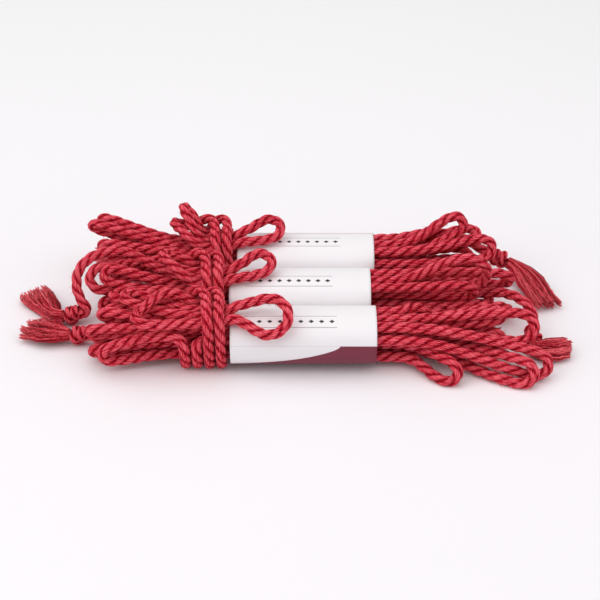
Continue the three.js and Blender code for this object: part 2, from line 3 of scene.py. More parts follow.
import bpy
import numpy as np
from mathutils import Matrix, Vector


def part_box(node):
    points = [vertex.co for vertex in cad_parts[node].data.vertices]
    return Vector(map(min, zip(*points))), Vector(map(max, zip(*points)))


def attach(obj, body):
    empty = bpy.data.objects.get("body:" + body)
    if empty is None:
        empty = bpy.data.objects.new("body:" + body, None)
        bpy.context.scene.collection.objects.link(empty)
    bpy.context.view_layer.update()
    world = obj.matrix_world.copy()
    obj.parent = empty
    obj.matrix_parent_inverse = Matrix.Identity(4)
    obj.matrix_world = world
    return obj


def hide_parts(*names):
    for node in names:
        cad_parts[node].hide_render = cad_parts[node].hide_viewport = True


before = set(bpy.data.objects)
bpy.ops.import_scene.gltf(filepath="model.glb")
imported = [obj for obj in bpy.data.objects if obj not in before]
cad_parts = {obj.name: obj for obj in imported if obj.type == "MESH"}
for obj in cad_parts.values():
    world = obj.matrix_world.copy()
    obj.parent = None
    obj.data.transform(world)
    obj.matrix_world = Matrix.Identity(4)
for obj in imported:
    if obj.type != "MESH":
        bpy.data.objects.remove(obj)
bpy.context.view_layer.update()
mm = 0.001


# Small helpers for node trees
class Value:
    # one output of a node; a sign between two values adds a math node
    def __init__(self, tree, socket):
        self.tree = tree
        self.socket = socket

    def __add__(self, other):
        return calc("ADD", self, other)

    def __sub__(self, other):
        return calc("SUBTRACT", self, other)

    def __rsub__(self, other):
        return calc("SUBTRACT", other, self)

    def __mul__(self, other):
        return calc("MULTIPLY", self, other)

    def __truediv__(self, other):
        return calc("DIVIDE", self, other)

    def __pow__(self, other):
        return calc("POWER", self, other)

    def __lt__(self, other):
        return calc("LESS_THAN", self, other)

    def __gt__(self, other):
        return calc("GREATER_THAN", self, other)


def feed(node, inputs):
    # sets a node's inputs to values of other nodes or to constants
    pairs = inputs.items() if isinstance(inputs, dict) else enumerate(inputs)
    for key, value in pairs:
        if isinstance(value, Value):
            value.tree.links.new(value.socket, node.inputs[key])
        elif value is not None:
            node.inputs[key].default_value = value


def put(tree, kind, inputs=(), out=0, **settings):
    # adds one node and returns one of its outputs, or a list of several
    node = tree.nodes.new(kind)
    for name, value in settings.items():
        setattr(node, name, value)
    feed(node, inputs)
    if isinstance(out, tuple):
        return [Value(tree, node.outputs[key]) for key in out]
    return Value(tree, node.outputs[out])


def treeOf(values):
    return next(value.tree for value in values if isinstance(value, Value))


def calc(operation, *values):
    return put(treeOf(values), "ShaderNodeMath", values, operation=operation)


def vectorCalc(operation, *values, out=0):
    return put(treeOf(values), "ShaderNodeVectorMath", values, out, operation=operation)


def scaled(vector, amount):
    return vectorCalc("SCALE", vector, None, None, amount)


def joined(*parts):
    return put(treeOf(parts), "ShaderNodeCombineXYZ", parts)


def split(vector):
    return put(vector.tree, "ShaderNodeSeparateXYZ", [vector], (0, 1, 2))


def blend(share, first, last):
    # a number between two others
    return (last - first) * share + first


def ranged(value, low, high, first=0.0, last=1.0, kind="LINEAR"):
    # takes low to first and high to last
    return put(value.tree, "ShaderNodeMapRange", [value, low, high, first, last], interpolation_type=kind)


def noise(place, scale, detail=2.0, roughness=0.5, distortion=0.0, out=0):
    return put(place.tree, "ShaderNodeTexNoise", {"Vector": place, "Scale": scale, "Detail": detail,
                                                  "Roughness": roughness, "Distortion": distortion}, out)


def chance(low, high, seed, key=None):
    return put(seed.tree, "FunctionNodeRandomValue", {2: low, 3: high, 7: key, 8: seed}, 1, data_type="FLOAT")


def mixColour(factor, first, last):
    return put(factor.tree, "ShaderNodeMix", {0: factor, 6: first, 7: last}, 2, data_type="RGBA")


def capture(geometry, values):
    # keeps values as they are here, for use further on
    node = geometry.tree.nodes.new("GeometryNodeCaptureAttribute")
    for key in values:
        node.capture_items.new("FLOAT", key)
    feed(node, {"Geometry": geometry, **values})
    return {key: Value(geometry.tree, node.outputs[key]) for key in ("Geometry", *values)}


def store(geometry, name, value, kind="FLOAT"):
    # keeps a value for the material
    return put(geometry.tree, "GeometryNodeStoreNamedAttribute",
               {"Geometry": geometry, "Name": name, "Value": value}, data_type=kind, domain="POINT")


def circle(tree, sides):
    return put(tree, "GeometryNodeCurvePrimitiveCircle", {"Resolution": sides, "Radius": 1.0}, mode="RADIUS")


def sweep(curve, section, scale):
    return put(curve.tree, "GeometryNodeCurveToMesh", {"Curve": curve, "Profile Curve": section,
                                                       "Scale": scale, "Fill Caps": True})


def position(tree):
    return put(tree, "GeometryNodeInputPosition")


def moved(geometry, place):
    return put(geometry.tree, "GeometryNodeSetPosition", {"Geometry": geometry, "Position": place})


def newTree(name, inputs):
    # a Geometry Nodes tree with its geometry in and out, and named inputs; None stands for a material
    kinds = {float: "NodeSocketFloat", int: "NodeSocketInt", tuple: "NodeSocketVector",
             type(None): "NodeSocketMaterial"}
    tree = bpy.data.node_groups.new(name, "GeometryNodeTree")
    for way in ("INPUT", "OUTPUT"):
        tree.interface.new_socket("Geometry", in_out=way, socket_type="NodeSocketGeometry")
    for label, value in inputs.items():
        socket = tree.interface.new_socket(label, in_out="INPUT", socket_type=kinds[type(value)])
        if value is not None:
            socket.default_value = value
    return tree, {socket.name: Value(tree, socket) for socket in tree.nodes.new("NodeGroupInput").outputs}


def closeTree(geometry, material):
    tree = geometry.tree
    real = put(tree, "GeometryNodeRealizeInstances", [geometry])
    painted = put(tree, "GeometryNodeSetMaterial", {"Geometry": real, "Material": material})
    feed(tree.nodes.new("NodeGroupOutput"), [painted])
    return tree


def addObject(name, data):
    thing = bpy.data.objects.new(name, data)
    bpy.context.scene.collection.objects.link(thing)
    return thing


def grow(name, guide, tree, values):
    # runs a tree on a guide mesh and keeps the result as a plain mesh object
    modifier = guide.modifiers.new("grow", "NODES")
    modifier.node_group = tree
    for item in tree.interface.items_tree:
        if item.in_out == "INPUT" and item.name in values:
            modifier[item.identifier] = values[item.name]
    bpy.context.view_layer.update()
    graph = bpy.context.evaluated_depsgraph_get()
    mesh = bpy.data.meshes.new_from_object(guide.evaluated_get(graph), depsgraph=graph)
    guide.modifiers.remove(modifier)
    bpy.data.objects.remove(guide)
    mesh.name = name
    return addObject(name, mesh)


def guideLine(points):
    mesh = bpy.data.meshes.new("guide")
    edges = [(i, i + 1) for i in range(len(points) - 1)]
    mesh.from_pydata([tuple(p) for p in points], edges, [])
    return addObject("guide", mesh)


# Camera, from in front and above
view = {
    "distance": 0.940,
    "elevation": 34.5,  # degrees
    "target": (0.0039, -0.0002, 0.0144),
    "lens": 92.4,  # mm on a film of this width
    "film": 36,
}


def addCamera():
    data = bpy.data.cameras.new("camera")
    data.lens = view["lens"]
    data.sensor_width = view["film"]
    data.sensor_fit = "HORIZONTAL"
    camera = addObject("camera", data)
    rise = math.radians(view["elevation"])
    offset = Vector((0, -math.cos(rise), math.sin(rise))) * view["distance"]
    camera.location = Vector(view["target"]) + offset
    camera.rotation_euler = (math.radians(90) - rise, 0, 0)
    bpy.context.scene.camera = camera


addCamera()
print("camera placed")

# The route of each rope, in mm, as the solids follow it
rope = {
    "diameter": 6,
    "gap": 0.5,  # air between neighbouring strands
    "restingCut": 0.1,
    "cutGap": 0.3,
    "bandedSpread": 1.2,
    "wrapPitch": 7,
    "wrapToBand": 2.4,
    "wrapToRuns": 4,
    "archSpread": 0.6,
    "tipPoints": 5,  # round the tip of a bight
    "bowFrom": 0.85,  # wrap pitches from the first wrap to the left end of the bow's lanes
    "bowTo": 1.3,
    "diveOut": (2.35, -0.75),  # across and up from the lanes, in pitches, beside the wraps
    "diveBack": (0.12, 0.55),  # pitches: left and up, and across
    "emerging": 0.55,  # pitches towards the front
    "shoulder": 0.8,  # diameters left of the wraps
}
settling = {
    "rounds": 160,
    "margin": 0.2,  # mm beyond the gap
    "search": 10,  # rounds from one search for near strands to the next
    "reach": 2,  # pitches that count as near
    "sameStrand": 1.5,  # pitches along a rope that aren't pushed apart
    "ease": 0.25,  # how far a point follows its neighbours
    "easeUntil": 0.7,  # share of the rounds
    "leastShare": 0.02,
    "leastWeight": 0.4,
}
band = {
    "length": 85,
    "depth": 36.6,
    "height": 30,
    "roundness": 2.3,
    "travel": 12,
    "facets": 40,
}
knot = {
    "length": 13,
    "diameter": 12.6,
}
tassel = {
    "flare": 14,
    "thickness": 5,
}
hankGap = 3.8
hankSpacing = band["depth"] + hankGap
ropeRadius = rope["diameter"] / 2
pitch = rope["diameter"] + rope["gap"]
innerRow = pitch / 2
outerRow = innerRow + pitch * math.sin(math.pi / 3)
floorHeight = ropeRadius - rope["diameter"] * rope["restingCut"]
bundleHeight = floorHeight + pitch + outerRow
laneHeight = bundleHeight + outerRow + pitch * math.sin(math.pi / 3)

# slots of the lower half of the bundle, across in pitches and row in mm
slotOrder = [(1, -outerRow), (1.5, -innerRow), (0.5, -innerRow), (0, -outerRow), (-0.5, -innerRow),
             (-1, -outerRow), (-1.5, -innerRow)]
shoulderSlot = (-2, -outerRow)

# bights as tip x, y from the middle of the hank, z, half width and roll; tails as points
hanks = [
    {
        "name": "front",
        "y": -hankSpacing,
        "bandLeft": -40.5,
        "upperTailLeft": False,
        "leftOfTailLeft": [[-122, 4, 14, 4.4, 0], [-123, -4, 8.5, 4.4, 0], [-116, -15, 13, 7, 0]],
        "rightOfTailLeft": [[120, -2, 14, 6, 0], [136, -27, 3, 9, 0], [92, -26, 4, 8, 0]],
        "leftOfTailRight": [[-114, 10, 25, 4.4, 0], [-117, 4, 31, 4.4, 0], [-124, -4, 22, 4.4, 0]],
        "rightOfTailRight": [[120, 12, 25, 8, 0], [138, -1, 22, 9, 0], [145, -19, 8, 7, 0]],
        "tailLeft": [[-84, 9, 8], [-104, 12, 6.6], [-119, 13.6, 6.6]],
        "knotLeft": [-133, 14.7, 6.7],
        "tasselLeft": [-167, 33.5, 4.5],
        "tailRight": [[69, 14, 24], [80, 14.5, 14], [87, 13.5, 8.5]],
        "knotRight": [98, 12.6, 6.9],
        "tasselRight": [124, 12.4, 4.5],
        "outerBow": [-95, -12, 36.5, 7.5, 0, 8],
        "innerBow": [-104, 12.5, 36.5, 5.5, 0],
        "releaseLoop": [-5, -13.5, 37, 12.6, 30],
    },
    {
        "name": "middle",
        "y": 0,
        "bandLeft": -42.5,
        "upperTailLeft": True,
        "leftOfTailLeft": [[-129, 5, 29, 8.5, -55], [-119, -2, 34, 5, 0], [-113, -10, 26, 4.4, 0]],
        "rightOfTailLeft": [[130, 10, 20, 8, 0], [114, 1, 36, 14, -20], [106, -4, 24, 8, 0]],
        "leftOfTailRight": [[-118, 10, 14, 4.4, 0], [-122, 0, 10, 4.4, 0], [-118, -9, 9, 4.4, 0]],
        "rightOfTailRight": [[118, 12, 7, 7, 0], [128, -4, 10, 8, 0], [112, -14, 6, 7, 0]],
        "tailLeft": [[-91, 15, 26], [-106, 17, 37], [-121, 14, 38], [-133, 10, 32], [-137, 5, 23],
                     [-134, -2, 14.5], [-127.5, -5, 8.6]],
        "knotLeft": [-139, -5, 6.8],
        "tasselLeft": [-168, 24, 4.5],
        "tailRight": [[82, 12, 8], [106, 12, 12], [124, 7, 17], [136, -3, 17.5], [141, -13, 13.5],
                      [141, -20, 9]],
        "knotRight": [139.7, -27.9, 6.9],
        "tasselRight": [164, -36, 4.5],
        "outerBow": [-83, 8, 42.5, 6.5, 12, 4, 3],
        "innerBow": [-78, 6, 36, 4.4, 0],
        "releaseLoop": [-16.5, 5, 40.5, 7.4, 25],
    },
    {
        "name": "back",
        "y": hankSpacing,
        "bandLeft": -39,
        "upperTailLeft": False,
        "leftOfTailLeft": [[-121, 7, 17, 4.6, 0], [-124, -2, 12, 4.4, 0], [-118, -11, 16, 6.5, 0]],
        "rightOfTailLeft": [[110, 14, 8, 8, 0], [118, 2, 9, 7, 0], [112, -7, 15, 6, 0]],
        "leftOfTailRight": [[-126, 15, 38, 5, 0], [-131, 7, 39, 4.6, 0], [-125, 0, 28, 4.6, 0]],
        "rightOfTailRight": [[112, 13, 30, 7, 0], [103, 8, 41, 6, 0], [121, 1, 26, 7, 0]],
        "tailLeft": [[-80, 14, 6.6], [-88, 20, 6.6]],
        "knotLeft": [-102, 24, 6.7],
        "tasselLeft": [-134, 25, 4.5],
        "tailRight": [[84, 12, 31], [104, 11, 27], [115, 8.5, 20]],
        "knotRight": [127, 6, 14.5],
        "tasselRight": [151, -32, 4.5],
        "outerBow": [-78, 10, 41, 4.4, 8, 4, 4],
        "innerBow": [-74, 14, 48, 4.4, 8, 3, 3],
        "releaseLoop": [-11, 3, 40.5, 7.6, 25],
    },
]


def held(*points):
    # points that stay where they are
    return [(point, True) for point in points]


def loose(*points):
    # points that other strands may push
    return [(point, False) for point in points]


def placeOf(hank, row):
    return np.array([row[0], hank["y"] + row[1], row[2]], float)


def unit(vector):
    return vector / max(np.linalg.norm(vector), 1e-12)


def slotAt(hank, slot, upper, spread, x):
    row = -slot[1] if upper else slot[1]
    return np.array([x, hank["y"] + slot[0] * pitch * spread, bundleHeight + row * spread])


def waistOf(hank):
    lastWrap = hank["bandLeft"] - rope["wrapToBand"] - ropeRadius
    firstWrap = lastWrap - 3 * rope["wrapPitch"]
    return {
        "firstWrap": firstWrap,
        "lastWrap": lastWrap,
        "left": firstWrap - rope["wrapToRuns"],
        "right": lastWrap + ropeRadius,
        "bandEnd": hank["bandLeft"] + band["length"] + band["travel"] + ropeRadius,
    }


def hermite(start, end, startTangent, endTangent, t):
    return ((2 * t ** 3 - 3 * t ** 2 + 1) * start + (t ** 3 - 2 * t ** 2 + t) * startTangent
            + (3 * t ** 2 - 2 * t ** 3) * end + (t ** 3 - t ** 2) * endTangent)


def turned(vector, axis, degrees):
    angle = math.radians(degrees)
    return (vector * math.cos(angle) + np.cross(axis, vector) * math.sin(angle)
            + axis * np.dot(axis, vector) * (1 - math.cos(angle)))


def bight(hank, start, end, tipRow, legSteps):
    # out along a leg, round a half circle at the tip and back along the other leg
    tipX, tipY, tipZ, halfWidth, roll, firstArch, secondArch = (tipRow + [0, 0])[:7]
    tip = np.array([tipX, hank["y"] + tipY, tipZ], float)
    edge = (start + end) / 2
    outward = unit(tip - edge)
    lateral = start - end
    lateral = unit(lateral - outward * np.dot(lateral, outward))
    lateral = turned(lateral, outward, roll)
    centre = tip - outward * halfWidth
    side = np.sign(tipX - edge[0])
    turn = [centre + lateral * halfWidth * math.cos(a) + outward * halfWidth * math.sin(a)
            for a in np.linspace(0, math.pi, rope["tipPoints"])]

    def leg(first, last, rise, outer):
        reach = np.linalg.norm(last - first)
        along = np.array([side * reach, 0, 0])
        points = []
        for i in range(1, legSteps + 1):
            t = i / (legSteps + 1)
            lift = (np.array([0, 0, 1]) + lateral * outer * rope["archSpread"]) * rise * math.sin(math.pi * t)
            points.append(hermite(first, last, along, outward * reach, t) + lift)
        return points

    return leg(start, turn[0], firstArch, 1) + turn + leg(end, turn[-1], secondArch, -1)[::-1]


def wrapCorner(hank, across, height, fromDegrees, toDegrees, x, steps):
    # the strand keeps one pitch from the slot at the corner; degrees from the front (-Y) downwards
    step = (toDegrees - fromDegrees) / steps
    reach = pitch / math.cos(math.radians(step / 2))
    points = []
    for i in range(steps):
        angle = math.radians(fromDegrees + step * (i + 0.5))
        points.append(np.array([x, hank["y"] + across * pitch - reach * math.cos(angle),
                                height - reach * math.sin(angle)]))
    return points


def wrapTurns(hank, strand, startsHigh):
    first = waistOf(hank)["firstWrap"] + strand * rope["wrapPitch"]
    second = first + 2 * rope["wrapPitch"]
    lowest = bundleHeight - outerRow
    low = bundleHeight - innerRow
    high = bundleHeight + innerRow

    def under(x):
        return (wrapCorner(hank, -1.5, low, 0, 30, x, 1) + wrapCorner(hank, -1, lowest, 30, 90, x, 2)
                + wrapCorner(hank, 1, lowest, 90, 150, x, 2) + wrapCorner(hank, 1.5, low, 150, 180, x, 1))

    overTop = (wrapCorner(hank, 1.5, laneHeight, 180, 270, first, 2)
               + wrapCorner(hank, -1.5, laneHeight, 270, 360, first, 2))
    for point, share in zip(overTop, (0.1, 0.95, 1, 1)):
        point[0] = first + (second - first) * share
    start = wrapCorner(hank, -1.5, high, -30, 0, first, 1) if startsHigh else []
    return (loose(*start) + held(*under(first)) + loose(*overTop) + held(*under(second))
            + loose(*wrapCorner(hank, 1.5, high, 180, 210, second, 1)))


def halfOf(hank, tailSide, upper):
    # one tail, and the runs of one half of the bundle
    waist = waistOf(hank)
    tail = hank["tail" + tailSide.title()]
    tips = {side: list(hank[side + "OfTail" + tailSide.title()]) for side in ("left", "right")}
    legSteps = {"left": 2, "right": 3}
    spots = {"left": (1, waist["left"]), "mid": (1, waist["right"]),
             "right": (rope["bandedSpread"], waist["bandEnd"])}
    side = tailSide
    runs = []
    for i, slot in enumerate(slotOrder):
        last = i == len(slotOrder) - 1
        if last and tailSide == "left":
            break
        ordered = ["left", "mid", "right"] if side == "left" else ["right", "mid", "left"]
        runs += held(*[slotAt(hank, slot, upper, *spots[spot]) for spot in ordered])
        side = ordered[-1]
        if last:
            runs[-1:] = held(slotAt(hank, slot, upper, 1, waist["firstWrap"] + 2 * rope["wrapPitch"]))
            break
        start = slotAt(hank, slot, upper, *spots[side])
        end = slotAt(hank, slotOrder[i + 1], upper, *spots[side])
        if i == len(slotOrder) - 2 and tailSide == "left":
            end = slotAt(hank, shoulderSlot, True, 1, waist["left"] - 2 * rope["diameter"])
        runs += loose(*bight(hank, start, end, tips[side].pop(0), legSteps[side]))
    return loose(*[placeOf(hank, row) for row in tail[::-1]]), runs


def bowOf(hank):
    # from the wraps: the outer left loop, the release loop over the band and the inner left loop
    firstWrap, lastWrap = waistOf(hank)["firstWrap"], waistOf(hank)["lastWrap"]
    laneLeft = firstWrap + rope["bowFrom"] * rope["wrapPitch"]
    overBand = bundleHeight + band["height"] / 2 + ropeRadius + rope["gap"] - laneHeight
    releaseFrom = hank["bandLeft"] + ropeRadius

    def lane(across, x, lift=0):
        return np.array([x, hank["y"] + across * pitch, laneHeight + lift])

    outer = bight(hank, lane(1.5, laneLeft), lane(-1.5, laneLeft), hank["outerBow"], 2)
    inner = bight(hank, lane(-0.5, laneLeft), lane(0.5, laneLeft), hank["innerBow"], 2)
    lifted = [lane(across, releaseFrom, overBand) for across in (-1.5, -0.5)]
    release = bight(hank, *lifted, hank["releaseLoop"], 1)
    bowStart = lane(1.5, firstWrap + rope["bowTo"] * rope["wrapPitch"])
    return (held(bowStart, lane(1.5, laneLeft)) + loose(*outer)
            + held(lane(-1.5, laneLeft), lane(-1.5, lastWrap)) + loose(lifted[0], *release, lifted[1])
            + held(lane(-0.5, lastWrap), lane(-0.5, laneLeft)) + loose(*inner)
            + held(lane(0.5, laneLeft)) + loose(lane(0.5, firstWrap + 2 * rope["wrapPitch"])))


def ropeOf(hank):
    firstWrap = waistOf(hank)["firstWrap"]
    leftTail, leftRuns = halfOf(hank, "left", hank["upperTailLeft"])
    rightTail, rightRuns = halfOf(hank, "right", not hank["upperTailLeft"])

    def dive(strand, across):
        # from the end of the wraps up beside them and over to the bow
        x = firstWrap + (strand + 2) * rope["wrapPitch"]
        out, up = rope["diveOut"]
        back, over = rope["diveBack"]
        return loose(np.array([x, hank["y"] + out * pitch, laneHeight + up * pitch]),
                     np.array([x - back * pitch, hank["y"] + (across + over) * pitch,
                               laneHeight + back * pitch]))

    shoulder = slotAt(hank, shoulderSlot, True, 1, firstWrap - rope["shoulder"] * rope["diameter"])
    emerging = slotAt(hank, slotOrder[-1], not hank["upperTailLeft"], 1, firstWrap + rope["wrapPitch"])
    emerging = emerging + np.array([ropeRadius, -rope["emerging"] * pitch, 0])
    wrapsLeft = loose(shoulder) + wrapTurns(hank, 0, True) + dive(0, 1.5)
    wrapsRight = loose(emerging) + wrapTurns(hank, 1, not hank["upperTailLeft"]) + dive(1, 0.9)
    return leftTail, leftRuns, wrapsLeft, bowOf(hank), wrapsRight[::-1], rightRuns[::-1], rightTail[::-1]


def endOf(hank, side):
    # where the knot and the tassel of one end lie
    centre = placeOf(hank, hank["knot" + side])
    entry = unit(placeOf(hank, hank["tail" + side][-1]) - centre)
    return {
        "centre": centre,
        "entry": entry,
        "face": centre + entry * (knot["length"] / 2 + rope["cutGap"] / 2),
        "neck": centre - entry * knot["length"] / 2,
        "tip": placeOf(hank, hank["tassel" + side]),
    }


def bandOutline(hank, count, inset=0):
    angles = np.linspace(0, 2 * math.pi, count, endpoint=False)
    power = 2 / band["roundness"]
    across = np.sign(np.cos(angles)) * np.abs(np.cos(angles)) ** power
    up = np.sign(np.sin(angles)) * np.abs(np.sin(angles)) ** power
    return np.stack([hank["y"] + across * (band["depth"] / 2 - inset),
                     bundleHeight + up * (band["height"] / 2 - inset)], axis=1)


class Crowd:
    # strands, knots, tassels and bands as segments with a radius, for keeping them clear of each other
    def __init__(self):
        self.places, self.held, self.segments = [], [], []

    def add(self, owner, nodes, radius, arc=0.0):
        first = len(self.places)
        for i, (point, fixed) in enumerate(nodes):
            self.places.append(np.array(point, float))
            self.held.append(fixed)
            if i:
                length = np.linalg.norm(point - nodes[i - 1][0])
                self.segments.append((owner, radius, first + i - 1, first + i, arc, arc + length))
                arc += length
        return arc

    def freeze(self):
        self.places = np.array(self.places)
        self.held = np.array(self.held)
        self.owner, self.radius, self.first, self.last, self.arcStart, self.arcEnd = (
            np.array(column) for column in zip(*self.segments))

    def nearPairs(self, reach):
        ends = np.stack([self.places[self.first], self.places[self.last]])
        low, high = ends.min(0) - reach / 2, ends.max(0) + reach / 2
        i, j = np.triu_indices(len(self.segments), 1)
        touch = ((low[i] <= high[j]) & (low[j] <= high[i])).all(1)
        i, j = i[touch], j[touch]
        fixed = self.held[self.first] & self.held[self.last]
        apart = (np.maximum(self.arcStart[i], self.arcStart[j])
                 - np.minimum(self.arcEnd[i], self.arcEnd[j]) > settling["sameStrand"] * pitch)
        keep = ~(fixed[i] & fixed[j]) & ((self.owner[i] != self.owner[j]) | apart)
        return i[keep], j[keep]

    def closest(self, i, j):
        a, b = self.places[self.first[i]], self.places[self.last[i]]
        c, d = self.places[self.first[j]], self.places[self.last[j]]
        one, two, between = b - a, d - c, a - c
        aa, ee = (one * one).sum(1), (two * two).sum(1)
        bb, cc, ff = (one * two).sum(1), (one * between).sum(1), (two * between).sum(1)
        denominator = aa * ee - bb * bb
        s = (bb * ff - cc * ee) / np.maximum(denominator, 1e-9)
        s = np.where(denominator > 1e-9, np.clip(s, 0, 1), 0.5)
        t = np.clip((bb * s + ff) / ee, 0, 1)
        s = np.clip((bb * t - cc) / aa, 0, 1)
        return s, t, (a + one * s[:, None]) - (c + two * t[:, None])


def fillCrowd(crowd, number, hank, stretches, ends):
    # adds one hank; returns where its rope's points begin and the indices of its bow's points
    offset = len(crowd.places)
    total = crowd.add(number, [node for stretch in stretches for node in stretch], ropeRadius)
    bowStart = offset + sum(len(stretch) for stretch in stretches[:3])
    for k, end in enumerate(ends):
        half = (knot["length"] - knot["diameter"]) / 2 + 0.1
        body = held(*[end["centre"] + end["entry"] * along for along in (half, -half)])
        reach = np.linalg.norm(end["neck"] - end["tip"])
        crowd.add(number, body, knot["diameter"] / 2, -1 if k == 0 else total)
        sideways = unit(np.cross([0, 0, 1], end["tip"] - end["neck"]))
        for share in (-0.5, 0, 0.5):
            shift = sideways * share * (tassel["flare"] - tassel["thickness"])
            crowd.add(number, held(end["neck"] + shift, end["tip"] + shift),
                      tassel["thickness"] / 2, -1 - reach if k == 0 else total + 1)
    # a band is an owner of its own
    for y, z in bandOutline(hank, band["facets"]):
        left = np.array([hank["bandLeft"], y, z])
        crowd.add(100 + number, held(left, left + [band["length"], 0, 0]), 0)
    return offset, np.arange(bowStart, bowStart + len(stretches[3]))


def settle(routes):
    # pushes the loose points until no strand is closer to another than the rope allows
    crowd = Crowd()
    filled = [fillCrowd(crowd, number, *route) for number, route in enumerate(routes)]
    crowd.freeze()
    start = crowd.places.copy()
    free = ~crowd.held
    for turn in range(settling["rounds"]):
        if turn % settling["search"] == 0:
            i, j = crowd.nearPairs(settling["reach"] * pitch)
        s, t, away = crowd.closest(i, j)
        distance = np.maximum(np.linalg.norm(away, axis=1), 1e-6)
        lack = crowd.radius[i] + crowd.radius[j] + rope["gap"] + settling["margin"] - distance
        away = away / distance[:, None]
        indices = np.stack([crowd.first[i], crowd.last[i], crowd.first[j], crowd.last[j]])
        shares = np.stack([1 - s, s, -(1 - t), -t])
        total = (shares ** 2 * free[indices]).sum(0)
        active = (lack > 0) & (total >= settling["leastShare"])
        sums, weights = np.zeros_like(crowd.places), np.zeros(len(crowd.places))
        for k in range(4):
            use = active & free[indices[k]] & (np.abs(shares[k]) > 1e-6)
            size = np.abs(shares[k][use])
            amount = lack[use] * shares[k][use] / np.maximum(total[use], settling["leastWeight"]) * size
            np.add.at(sums, indices[k][use], away[use] * amount[:, None])
            np.add.at(weights, indices[k][use], size)
        moved = free & (weights > 0)
        crowd.places[moved] += sums[moved] / weights[moved, None]
        for (hank, stretches, ends), (offset, bow) in zip(routes, filled):
            keepOutsideBand(crowd.places, bow[free[bow]], hank)
        ease = settling["ease"] if turn < settling["rounds"] * settling["easeUntil"] else 0
        shifts = crowd.places - start
        index = np.nonzero(free)[0]
        mean = (shifts[index - 1] + shifts[index + 1]) / 2
        crowd.places[index] = start[index] + shifts[index] * (1 - ease) + mean * ease
        crowd.places[index, 2] = np.maximum(crowd.places[index, 2], floorHeight)
    return [(hank, crowd.places[offset:offset + sum(map(len, stretches))], ends)
            for (hank, stretches, ends), (offset, bow) in zip(routes, filled)]


def keepOutsideBand(places, members, hank):
    # the release loop lies over its band, so its points are lifted out of the band's outline
    clear = ropeRadius + rope["gap"]
    members = members[places[members, 0] > hank["bandLeft"]]
    across = np.abs(places[members, 1] - hank["y"]) / (band["depth"] / 2 + clear)
    up = np.abs(places[members, 2] - bundleHeight) / (band["height"] / 2 + clear)
    reach = (across ** band["roundness"] + up ** band["roundness"]) ** (1 / band["roundness"])
    inside = reach < 1
    chosen = members[inside]
    places[chosen, 1] = hank["y"] + (places[chosen, 1] - hank["y"]) / reach[inside]
    places[chosen, 2] = bundleHeight + (places[chosen, 2] - bundleHeight) / reach[inside]


def routeRopes():
    routes = []
    for hank in hanks:
        stretches = [list(stretch) for stretch in ropeOf(hank)]
        ends = [endOf(hank, "Left"), endOf(hank, "Right")]
        stretches[0][:0] = held(ends[0]["face"])
        stretches[-1] += held(ends[1]["face"])
        routes.append((hank, stretches, ends))
    return settle(routes)


routes = routeRopes()
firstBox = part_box("front_band")
shift = np.array([firstBox[0].x / mm - hanks[0]["bandLeft"],
                  (firstBox[0].y + firstBox[1].y) / 2 / mm - hanks[0]["y"],
                  firstBox[0].z / mm - (bundleHeight - band["height"] / 2)])
print("ropes routed, set moved by", [round(float(v), 3) for v in shift], "mm")


# From corner points to a smooth line: corners are rounded, then the line is evened out
smoothing = {
    "cornerReach": 9.0,  # mm of each leg that a corner may round off
    "bandReach": 2.5,  # the same where the ropes come out of the band's travel
    "step": 1.0,  # mm between points
    "window": 2.2,  # mm, spread of the last evening out
}


def evenly(points, step):
    lengths = np.concatenate([[0], np.cumsum(np.linalg.norm(np.diff(points, axis=0), axis=1))])
    count = max(2, int(round(lengths[-1] / step)) + 1)
    marks = np.linspace(0, lengths[-1], count)
    return np.stack([np.interp(marks, lengths, points[:, k]) for k in range(3)], axis=1)


def roundCorners(points, reaches):
    line = [points[0]]
    for before, corner, after, reach in zip(points[:-2], points[1:-1], points[2:], reaches[1:-1]):
        into, out = corner - before, after - corner
        cutIn = min(reach, np.linalg.norm(into) / 2) * unit(into)
        cutOut = min(reach, np.linalg.norm(out) / 2) * unit(out)
        first, last = corner - cutIn, corner + cutOut
        for t in np.linspace(0, 1, 7):
            line.append((1 - t) ** 2 * first + 2 * t * (1 - t) * corner + t ** 2 * last)
    line.append(points[-1])
    line = np.array(line)
    keep = np.concatenate([[True], np.linalg.norm(np.diff(line, axis=0), axis=1) > 1e-6])
    return line[keep]


def smoothLine(points, values=smoothing, bandEnd=math.inf):
    reaches = np.where(abs(points[:, 0] - bandEnd) < 0.5, smoothing["bandReach"], values["cornerReach"])
    line = evenly(roundCorners(points, reaches), values["step"])
    spread = values["window"] / values["step"]
    offsets = np.arange(-int(3 * spread), int(3 * spread) + 1)
    weights = np.exp(-0.5 * (offsets / spread) ** 2)
    weights /= weights.sum()
    ends = len(offsets) // 2
    # the line is continued straight past its ends, so that it still starts and ends in place
    before = 2 * line[0] - line[1:ends + 1][::-1]
    after = 2 * line[-1] - line[-ends - 1:-1][::-1]
    padded = np.concatenate([before, line, after])
    return np.stack([np.convolve(padded[:, k], weights, "valid") for k in range(3)], axis=1)


# Laid rope: three strands wound left-handed round each other
laid = {
    "radius": 3.25,  # mm, over the strands
    "strandRadius": 2.1,
    "layLength": 23.0,  # one full turn of a strand
    "step": 1.35,  # between rings
    "sides": 24,
    "lowest": 0.1,  # above the floor
    "swelling": 0.004,  # share by which the rope gets thicker and thinner
    "swells": 55.0,  # scale of the swelling, on a metre
    "seam": 1e-4,  # radians, so that no point of the section falls exactly in a groove
}


def aboveFloor(skin):
    # nothing reaches below the floor
    x, y, z = split(position(skin.tree))
    return moved(skin, joined(x, y, calc("MAXIMUM", z, laid["lowest"] * mm)))


